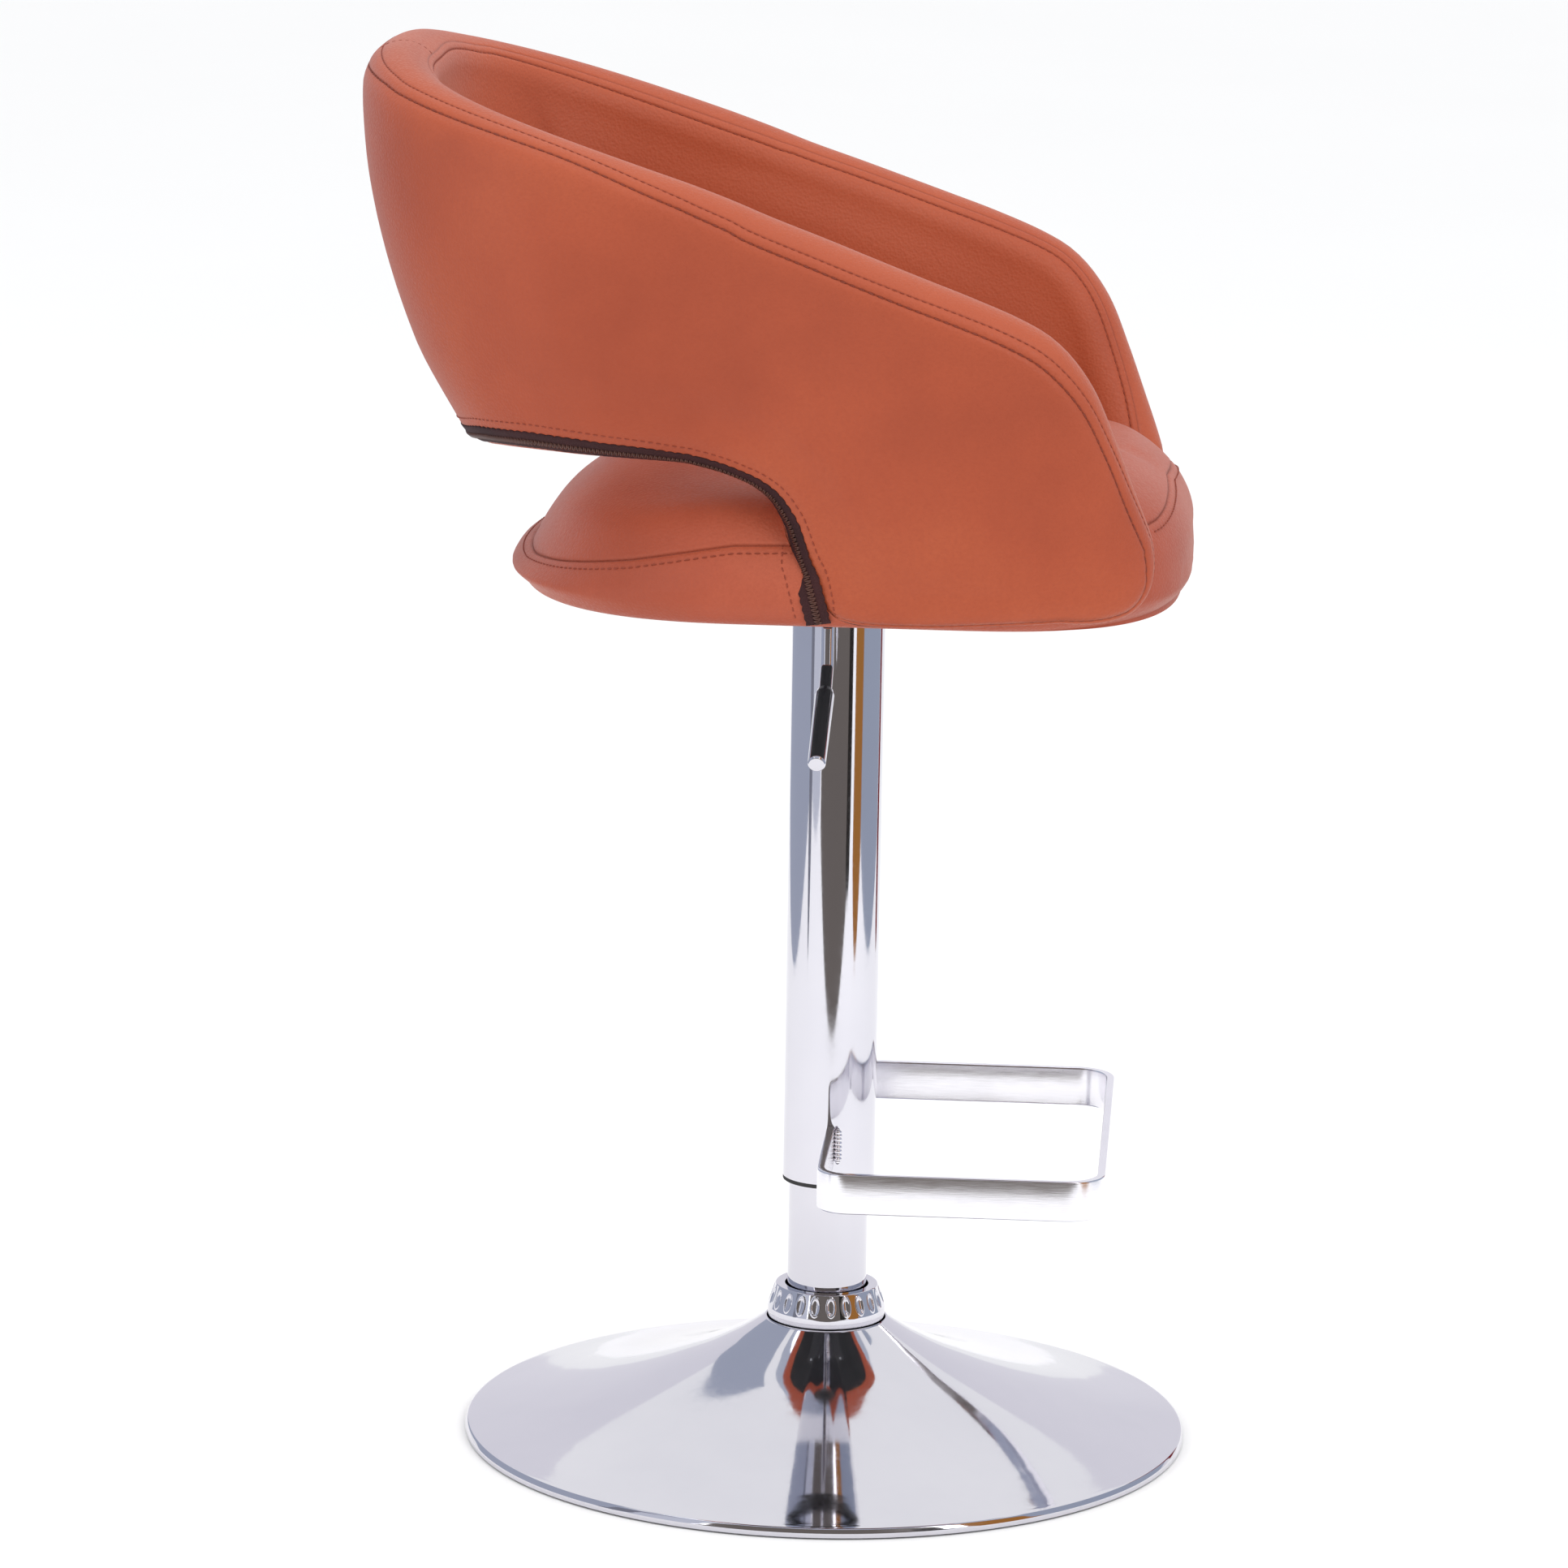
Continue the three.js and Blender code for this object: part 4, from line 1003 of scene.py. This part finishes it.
def footrest_piece():
    """A flat bar bent into a loop whose ends butt the cover tube."""
    low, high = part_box("footrest_loop")
    half, reach = high.x, -low.y
    centre_z = (low.z + high.z) / 2
    thick = 0.005
    x, y = half - thick / 2, reach - thick / 2
    line = rounded([(0.0293, -thick / 2, 0), (x, -thick / 2, 0.0170), (x, -y, 0.0225), (-x, -y, 0.0225),
                    (-x, -thick / 2, 0.0170), (-0.0293, -thick / 2, 0)], 14, closed=False)
    dense = densified(line, 0.006)
    path = np.column_stack([dense, np.full(len(dense), centre_z)])
    w, h = thick / 2, (high.z - low.z) / 2
    section = rounded([(-w, -h, 0.0011), (w, -h, 0.0011), (w, h, 0.0011), (-w, h, 0.0011)], 4)
    return swept("footrest_bar", path, section, (0, 0, 1), sharp=50)


def weld_piece(name, side):
    """A lumpy bead where the footrest's bar meets the cover tube."""
    low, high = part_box("footrest_loop")[0].z + 0.0015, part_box("footrest_loop")[1].z - 0.0008
    dice = random.Random(5 + side)
    count = 70
    path, scale = [], []
    for t in np.linspace(0, 1, count):
        z = low + (high - low) * t
        ripple = 0.5 + 0.5 * math.sin(t * 2 * math.pi * 9)
        size = (0.8 + 0.22 * ripple + dice.uniform(-0.03, 0.03)) * min(1, 6 * t + 0.35, 6 * (1 - t) + 0.35)
        path.append((side * (0.0312 + 0.0002 * ripple), -0.0072, z))
        scale.append((size, size))
    return swept(name, path, circle(0.0026, 20), (0, 1, 0), scale)


def lever_pieces():
    """The bent lever rod and the tapered grip on its end."""
    bend = rounded([(0.0035, 0.5440, 0), (-0.1140, 0.5440, 0.0070), (-0.1140, 0.5150, 0.0060),
                    (-0.1290, 0.5030, 0.0100), (-0.1420, 0.4977, 0)], 14, closed=False)
    path = [(x, 0, z) for x, z in densified(bend, 0.003)]
    rod = swept("lever_rod_polished", path, circle(0.0040, 40), (0, 1, 0), sharp=60)
    start, end = np.array([-0.1285, 0, 0.5033]), np.array([-0.2025, 0, 0.4730])
    length = float(np.linalg.norm(end - start))
    outline = rounded([(0, 0, 0), (0.0041, 0, 0.0004), (0.0052, 0.0022, 0.0006), (0.0059, 0.0060, 0.002),
                       (0.0057, length * 0.5, 0.02), (0.0054, length - 0.0016, 0.0006),
                       (0.0046, length, 0.0004), (0, length, 0)], 6, closed=False)
    grip = lathe("lever_grip_polished", outline, 64, closed=False)
    turn = Vector((0, 0, 1)).rotation_difference(Vector(end - start))
    grip.data.transform(Matrix.Translation(Vector(start)) @ turn.to_matrix().to_4x4())
    return rod, grip


# ---------- finishes ----------
# Each finish: name, main and second tone, least and most roughness, scale and bump of its grain.
CHROME = metal_finish("polished_chrome", (0.69, 0.68, 0.73), (0.61, 0.605, 0.665), 0.035, 0.085, 240, 0.012)
BRUSHED = metal_finish("brushed_bar", (0.90, 0.89, 0.93), (0.74, 0.73, 0.78), 0.14, 0.26, 1500, 0.08,
                       stretch=(0.05, 0.05, 1))
STEEL = metal_finish("zinc_steel", (0.56, 0.57, 0.58), (0.36, 0.36, 0.38), 0.28, 0.45, 420, 0.12)
BLACK_STEEL = dull_finish("black_painted_steel", (0.018, 0.018, 0.02), (0.035, 0.034, 0.034), 0.32, 0.5,
                          700, 0.15)
BLACK_PLASTIC = dull_finish("black_plastic", (0.016, 0.016, 0.018), (0.03, 0.03, 0.032), 0.35, 0.55,
                            900, 0.12)
RUBBER = dull_finish("black_rubber", (0.022, 0.022, 0.023), (0.05, 0.048, 0.046), 0.7, 0.9, 500, 0.3)
NYLON = dull_finish("grey_nylon", (0.42, 0.42, 0.40), (0.33, 0.33, 0.32), 0.4, 0.6, 600, 0.1)
PLYWOOD = dull_finish("plywood", (0.50, 0.33, 0.18), (0.36, 0.22, 0.11), 0.55, 0.75, 60, 0.25, (1, 14, 90))
LINING = dull_finish("dust_cloth", (0.030, 0.029, 0.030), (0.012, 0.012, 0.013), 0.8, 0.95, 1400, 0.5)
LEATHER = leather_finish("orange_leather", (0.310, 0.050, 0.0175), (0.375, 0.065, 0.0225),
                         (0.425, 0.085, 0.030))
# The cushion's copy of the leather is paler and pinker than the band's: painted sheen of the bright sky on
# the seat.
SEAT_LEATHER = leather_finish("seat_leather", (0.320, 0.056, 0.023), (0.385, 0.072, 0.031),
                              (0.440, 0.094, 0.043))
THREAD = dull_finish("thread", (0.290, 0.047, 0.018), (0.210, 0.034, 0.014), 0.5, 0.75, 2400, 0.5)
DARK_THREAD = dull_finish("dark_thread", (0.240, 0.038, 0.016), (0.165, 0.026, 0.011), 0.5, 0.75, 2400, 0.5)
TAPE = dull_finish("zip_tape", (0.052, 0.008, 0.009), (0.020, 0.004, 0.005), 0.7, 0.9, 1500, 0.6)
# The coil's paler brown is partly its own colour and partly painted highlight.
COIL = dull_finish("zip_coil", (0.105, 0.040, 0.028), (0.045, 0.016, 0.011), 0.28, 0.42, 1800, 0.2)

FINISHES = {"chrome": CHROME, "steel": STEEL, "black_steel": BLACK_STEEL, "black_plastic": BLACK_PLASTIC,
            "rubber": RUBBER, "nylon": NYLON, "plywood": PLYWOOD, "lining": LINING, "leather": LEATHER,
            "zipper": TAPE}

# ---------- upholstery ----------
shell_shift = seat_shift = None
shell_shift = swelling("shell_cloth", lambda name: shell_mesh(name, detailed=False), 0.0025)
seat_shift = swelling("seat_cloth", lambda name: seat_mesh(name, detailed=False), 0.004)
shell = shell_mesh("shell_leather", shift=shell_shift)
# The outer face is evened out where the arms' front corners meet their feet.
smooth_spot(shell, lambda at: abs(at.x) > 0.203 and -0.172 < at.y < -0.122 and 0.566 < at.z < 0.596, 12)
dress(shell, "carriage", "leather", LEATHER, "back_shell")

seat = seat_mesh("seat_leather", seat_shift)
# The cushion is cut back where the band passes it.
cut_away(seat, shell_mesh("shell_cutter", grown=0.0006, detailed=False))
dress(seat, "carriage", "leather", SEAT_LEATHER, "seat_cushion")

SIDES = (1, -1)
rim_to_foot = np.linspace(0.001, 2.2, 900)
rim_only = np.linspace(0.001, 1.15, 700)
# Topstitching on the band, bold on the outer seam and fine on the others: name, seam, places,
# height over the leather, length, gap and radius of a stitch, thread.
BAND_ROWS = [("stitch_outer", SEAM_OUTER, rim_to_foot, -0.0006, 0.0042, 0.0017, 0.00062, DARK_THREAD),
             ("stitch_upper", SEAM_UPPER, rim_to_foot[:840], -0.0002, 0.0030, 0.0016, 0.00036, THREAD),
             ("stitch_face", SEAM_FACE, rim_only, -0.0005, 0.0034, 0.0018, 0.00040, THREAD)]
for name, seam, places, proud, *stitch in BAND_ROWS:
    stitches(name, [edge_line(places, seam, proud, side) for side in SIDES], *stitch)

# A short row across the rim beside the centre of the back.
across_turn = np.linspace(math.radians(50), math.radians(140), 60)
cross = edge_point(np.full(60, len(LOOP) - 6.0), across_turn, -0.0001)
stitches("stitch_cross", [cross], 0.0030, 0.0008, 0.00045, DARK_THREAD)

# Topstitching round the cushion, a little below its seam.
seat_rows = [seat_line(-0.0058, a, b, 260, s) for s in SIDES for a, b in ((0.0, 0.52), (0.80, 1.0))]
stitches("stitch_seat", seat_rows, 0.0034, 0.0018, 0.00040, THREAD)

# ---------- zip ----------
# Where the zip lies on the edge: (distance from the back's centre, degrees from the outer face).
ZIP_TURN = [(0, 20), (0.14, 22), (0.19, 31), (0.24, 47), (0.29, 58), (0.34, 57), (0.36, 51), (0.372, 45),
            (0.379, 40), (0.384, 37), (0.6, 36)]
# The two leather pieces, on which the zip and its stitches are laid.
COVERS = [BVHTree.FromPolygons([v.co for v in piece.data.vertices], [p.vertices for p in piece.data.polygons])
          for piece in (shell, seat)]


def beam(y, z, lift):
    """Point and normal of the leather at (y, z) on the left side, lifted a little."""
    found = []
    for tree in COVERS:
        at, normal, _, _ = tree.ray_cast(Vector((0.30, y, z)), Vector((-1, 0, 0)))
        if at is not None:
            found.append((at.x, *(np.array(at) + np.array(normal) * lift), *normal))
    return max(found)[1:] if found else (0.2, y, z, 1, 0, 0)


def settled(points, lift=0.0001):
    """Points moved onto the nearest leather, with its normals."""
    placed = []
    for point in points:
        near = min((tree.find_nearest(Vector(point)) for tree in COVERS), key=lambda hit: hit[3])
        placed.append([*(near[0] + near[1] * lift), *near[1]])
    placed = np.array(placed)
    return placed[:, :3], placed[:, 3:]


ZIP_CORNER_Z = 0.592  # from here the zip runs straight down to the cushion's bottom
ZIP_END_Z = 0.5585
ZIP_LIFT = 0.0006  # height of the zip's centre line over the leather


def zip_path(side):
    """Centre line of the zip and its normals on one side, from the back's centre to the foot."""
    low = HALF_LOOP[FOOT:][::-1]
    stop = np.argmax((low[:, 1] < ZIP_CORNER_Z) & (low[:, 0] > 0.3))
    index = np.linspace(len(HALF_LOOP) - 1.001, len(HALF_LOOP) - 1 - stop, 420)
    run = np.interp(index, np.arange(len(HALF_LOOP)), HALF_LOOP[:, 0])
    turn = np.radians(np.interp(run, *zip(*ZIP_TURN)))
    line, normal = edge_point(index, turn, ZIP_LIFT)
    t = np.linspace(0, 1, 26)[1:]
    foot_y = line[-1, 1] - 0.0070 * t
    foot_z = line[-1, 2] + (ZIP_END_Z - line[-1, 2]) * t
    foot = np.array([beam(y, z, ZIP_LIFT) for y, z in zip(foot_y, foot_z)])
    path = np.vstack([line, foot[:, :3]])
    normals = np.vstack([normal, foot[:, 3:]])
    # Round the corner the normals and x are evened out over their neighbours.
    reach = np.arange(-30, 31)
    wide, narrow = np.exp(-((reach / 13) ** 2)), np.exp(-((reach / 6) ** 2))
    place = np.arange(len(path))
    index = np.clip(place[:, None] + reach, 0, len(path) - 1)
    low_part = ease((place - len(line) + 40) / 20)[:, None]
    smooth = (normals[index] * wide[None, :, None]).sum(1)
    normals = unit(normals + (unit(smooth) - normals) * low_part)
    eased = (path[index] * narrow[None, :, None]).sum(1) / narrow.sum()
    path[:, 0] += ((eased - path) * low_part)[:, 0] * (place < len(path) - 3)
    both = respaced(np.hstack([path, normals]), 640)
    flip = np.array([side, 1, 1])
    return both[:, :3] * flip, unit(both[:, 3:]) * flip


def sideways(line, normal):
    """Unit vectors across a line that lies on a surface."""
    return unit(np.cross(normal, unit(np.gradient(line, axis=0))))


def ribbon(line, normal, bend, near, far):
    """Points and faces of one half of the zip's tape, from near to far beside its line. The tape
    curves with the edge where bend is 1, and its outer border is scalloped."""
    thickness, scallop, pitch = 0.0008, 0.0009, 0.0055
    across = sideways(line, normal)
    wave = scallop * np.abs(np.sin(distance_along(line) * math.pi / pitch)) ** 0.7
    rows = []
    for level, shares in ((0.0, np.linspace(0, 1, 5)), (-thickness, np.linspace(1, 0, 5))):
        for t in shares:
            offset = near + (far - near) * t + np.sign(far) * wave * t
            drop = bend * offset**2 / (2 * SHELL_HALF)
            rows.append(line + across * offset[:, None] + normal * (level - drop)[:, None])
    rows = np.array(rows).transpose(1, 0, 2)
    return rows, tube_faces(*rows.shape[:2])


tapes, coil_lines, leather_rows = [], [], []
for side in SIDES:
    line, normal = zip_path(side)
    bend = ease((line[:, 2] - 0.580) / 0.026)
    line = line + normal * (0.0016 * (1 - bend))[:, None]
    tapes += [ribbon(line, normal, bend, 0.0010 * sign, 0.0066 * sign) for sign in (1, -1)]
    across = sideways(line, normal)
    coil_lines.append((line, normal, across))
    # One row of stitches runs beside the zip on the band, the other beside its end on the cushion.
    outward = 0.0122 if (line + across * 0.01)[0, 2] > line[0, 2] else -0.0122
    leather_rows.append(settled(line + across * outward - normal * (outward**2 / (2 * SHELL_HALF))))
    heights = np.linspace(0.603, 0.5600, 50)
    beside = np.interp(-heights, -line[-200:, 2], line[-200:, 1]) + 0.0130
    placed = np.array([beam(y, z, 0.0001) for y, z in zip(beside, heights)])
    leather_rows.append((placed[:, :3] * [side, 1, 1], placed[:, 3:] * [side, 1, 1]))
tape = joined("zip_tape", tapes)
dress(tape, "carriage", "zipper", TAPE, "shell_zipper")


def coil_mesh(name):
    """Interlocked turns of the zip's coil, as small rounded bars across it."""
    shape, faces = bead(0.0044, 0.00060, 7)
    places = []
    for line, normal, across in coil_lines:
        run = distance_along(line)
        for k, at in enumerate(np.arange(0.0008, run[-1] - 0.0008, 0.00132)):
            odd = 1 if k % 2 else -1
            n, a = unit(row_at(at, run, normal)), unit(row_at(at, run, across))
            along = np.cross(a, n)
            axes = np.stack([unit(a + along * 0.12 * odd), along, n])
            places.append((row_at(at, run, line) + n * 0.00045 + a * 0.0003 * odd, axes))
    return bead_mesh(name, shape, faces, places)


dress(coil_mesh("zip_coil"), "carriage", "zipper", COIL)
stitches("stitch_zip", leather_rows, 0.0032, 0.0015, 0.00040, THREAD)

# ---------- column, footrest and base ----------
dress(lathe("base_disc_polished", base_outline(), 288), "base", "chrome", CHROME, "base_disc")
dress(lathe("collar_polished", collar_outline(), 720, dent=collar_dents), "base", "chrome", CHROME, "collar")
low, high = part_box("lower_tube")
TUBE_WALL, TUBE_LIP = 0.002, 0.0006
bore = high.x - TUBE_WALL
tube_outline = rounded([(high.x, low.z, TUBE_LIP), (high.x, high.z, TUBE_LIP), (bore, high.z, TUBE_LIP / 2),
                        (bore, low.z, TUBE_LIP / 2)], 4)
dress(lathe("lower_tube_polished", tube_outline, 160), "base", "chrome", CHROME, "lower_tube")
dress(cover_piece(), "carriage", "chrome", CHROME, "cover_tube")
low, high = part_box("cover_ring")
ring_outline = rounded([(0.0259, low.z, 0.0006), (0.0289, low.z, 0.0003), (0.0289, 0.1672, 0.0001),
                        (0.0271, 0.1675, 0.0001), (0.0271, high.z, 0.0004), (0.0259, high.z, 0.0004)], 5)
dress(lathe("cover_ring_moulded", ring_outline, 160), "carriage", "black_plastic", RUBBER, "cover_ring")
dress(footrest_piece(), "carriage", "chrome", BRUSHED, "footrest_loop")
dress(weld_piece("weld_left", 1), "carriage", "chrome", BRUSHED, "footrest_weld_left")
dress(weld_piece("weld_right", -1), "carriage", "chrome", BRUSHED, "footrest_weld_right")
rod, grip = lever_pieces()
dress(rod, "lever", "chrome", CHROME, "lever_rod")
dress(grip, "lever", "chrome", CHROME, "lever_grip")

BOLT = rounded([(0, 0.5541, 0), (0.0050, 0.5541, 0.0006), (0.0068, 0.5549, 0.0003), (0.0068, 0.5556, 0.0001),
                (0.0038, 0.5557, 0.0002), (0.0038, 0.5830, 0.0004), (0, 0.5832, 0)], 4, closed=False)
for node in ("frame_bolt_right", "frame_bolt_left"):
    bolt = lathe(node + "_head", BOLT, 40, closed=False)
    low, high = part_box(node)
    bolt.data.transform(Matrix.Translation(((low.x + high.x) / 2, (low.y + high.y) / 2, 0)))
    dress(bolt, "carriage", "steel", STEEL, node)

# CAD parts that stay as they are: each takes the finish of its slot, which its material is named for.
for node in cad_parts.values():
    if node.hide_render:
        continue
    given = node.data.materials[0].name.split(".")[0] if node.data.materials else ""
    node.data.materials.clear()
    node.data.materials.append(FINISHES.get(given, STEEL))
    bevel = node.modifiers.new("softened", "BEVEL")
    bevel.width, bevel.segments, bevel.limit_method = 0.00025, 2, "ANGLE"

# ---------- floor, lights and camera ----------
def area_light(name, centre, aim, size, power):
    data = bpy.data.lights.new(name, "AREA")
    data.shape, data.size, data.size_y, data.energy = "RECTANGLE", size, size, power
    light = linked(name, data)
    light.location = centre
    light.rotation_euler = (Vector(aim) - Vector(centre)).to_track_quat("-Z", "Y").to_euler()


FLOOR_HALF, FLOOR_Z = 14, -0.0002
floor_mesh = bpy.data.meshes.new("floor")
floor_corners = [(x * FLOOR_HALF, y * FLOOR_HALF, FLOOR_Z) for x, y in ((-1, -1), (1, -1), (1, 1), (-1, 1))]
floor_mesh.from_pydata(floor_corners, [], [(0, 1, 2, 3)])
floor = linked("floor", floor_mesh)
paint = Finish("floor_white", Roughness=0.9, Specular_IOR_Level=0.1)
paint.colour(paint.ramp(paint.noise(1.5), [(0.0, (0.93, 0.93, 0.93)), (1.0, (0.95, 0.95, 0.95))]))
floor_mesh.materials.append(paint.material)

world = bpy.data.worlds.new("studio")
scene.world = world
world.use_nodes = True
world.node_tree.nodes["Background"].inputs["Color"].default_value = (0.985, 0.99, 1.0, 1)
world.node_tree.nodes["Background"].inputs["Strength"].default_value = 1.04

area_light("key", (-2.2, -2.0, 2.8), (0, 0, 0.6), 1.8, 34)
area_light("fill", (-2.6, 2.2, 1.8), (0, 0, 0.6), 1.6, 12)
area_light("top", (0.2, 0.1, 3.2), (0, 0, 0.5), 2.0, 20)

# Curved panels round the stool: (name, first and last angle from the camera's side towards the
# front, radius, low and high edge, how far the middle hangs lower, colour).
CARDS = [("card_left", -152, -68, 1.08, 0.050, 1.7, 0.13, (0.43, 0.47, 0.57)),
         ("card_left_stripe", -68, -60, 1.08, 0.060, 1.7, 0.10, (0.24, 0.25, 0.30)),
         ("card_left_pale", -60, -38, 1.08, 0.160, 1.7, 0.03, (0.66, 0.69, 0.78)),
         ("card_dark", -36, 38, 1.08, 0.0, 1.7, 0.165, (0.175, 0.155, 0.14)),
         ("card_black", 28, 37, 1.03, 0.12, 0.75, 0.02, (0.030, 0.026, 0.024)),
         ("card_orange", 45, 66, 1.08, 0.060, 1.7, 0.08, (0.42, 0.18, 0.045)),
         ("card_right", 66, 128, 1.08, 0.064, 1.7, 0.09, (0.39, 0.44, 0.54)),
         ("card_red", 129, 138, 1.08, 0.060, 0.75, 0.02, (0.20, 0.015, 0.022)),
         ("card_back", 130, 230, 5.0, 0.40, 2.8, 0.0, (0.86, 0.85, 0.91))]


CARDS_TURN = math.radians(3.3)  # the angles are measured from here


def glowing_panel(name, points, faces, colour):
    """A panel that shows only in reflections."""
    mesh = bpy.data.meshes.new(name)
    mesh.from_pydata(points, [], faces)
    finish = bpy.data.materials.new(name)
    finish.use_nodes = True
    tree = finish.node_tree
    tree.nodes.remove(tree.nodes["Principled BSDF"])
    glow = tree.nodes.new("ShaderNodeEmission")
    glow.inputs["Color"].default_value = (*colour, 1)
    glow.inputs["Strength"].default_value = 1.0
    tree.links.new(glow.outputs[0], tree.nodes["Material Output"].inputs["Surface"])
    mesh.materials.append(finish)
    panel = linked(name, mesh)
    panel.visible_camera = panel.visible_diffuse = panel.visible_shadow = False


def curved_card(name, first, last, radius, low, high, hang, colour):
    count = 25
    angle = np.radians(np.linspace(first, last, count)) + CARDS_TURN
    ring = np.stack([-np.cos(angle) * radius, -np.sin(angle) * radius], -1)
    bottom = low + hang * np.linspace(-1, 1, count) ** 2
    points = np.vstack([np.column_stack([ring, z]) for z in (bottom, np.full(count, high))])
    glowing_panel(name, points.tolist(), grid_faces(2, count).tolist(), colour)


for entry in CARDS:
    curved_card(*entry)
OVERHEAD_RADIUS, OVERHEAD_Z = 1.75, 3.2
overhead = [(x, y, OVERHEAD_Z) for x, y in circle(OVERHEAD_RADIUS, 64).tolist()]
glowing_panel("card_overhead", overhead, [list(range(64))], (0.50, 0.54, 0.63))

# The camera's place, and its direction from its heading, pitch and roll.
CAMERA_AT = (-4.31721, -0.24914, 1.34263)
AZIMUTH, YAW, PITCH, ROLL = (math.radians(a) for a in (3.303, 0.4276, 12.0708, 0.9635))
heading = AZIMUTH + YAW
forward = np.array([math.cos(heading) * math.cos(PITCH), math.sin(heading) * math.cos(PITCH),
                    -math.sin(PITCH)])
level = unit(np.cross(forward, [0, 0, 1]))
upright = np.cross(level, forward)
right = math.cos(ROLL) * level + math.sin(ROLL) * upright
top = -math.sin(ROLL) * level + math.cos(ROLL) * upright
camera_data = bpy.data.cameras.new("camera")
camera_data.lens, camera_data.sensor_width = 162.90, 36
camera_data.clip_start, camera_data.clip_end = 0.1, 60
camera = linked("camera", camera_data)
turned = Matrix((right, top, -forward)).transposed().to_4x4()
camera.matrix_world = Matrix.Translation(CAMERA_AT) @ turned
scene.camera = camera
scene.view_settings.view_transform = "Standard"
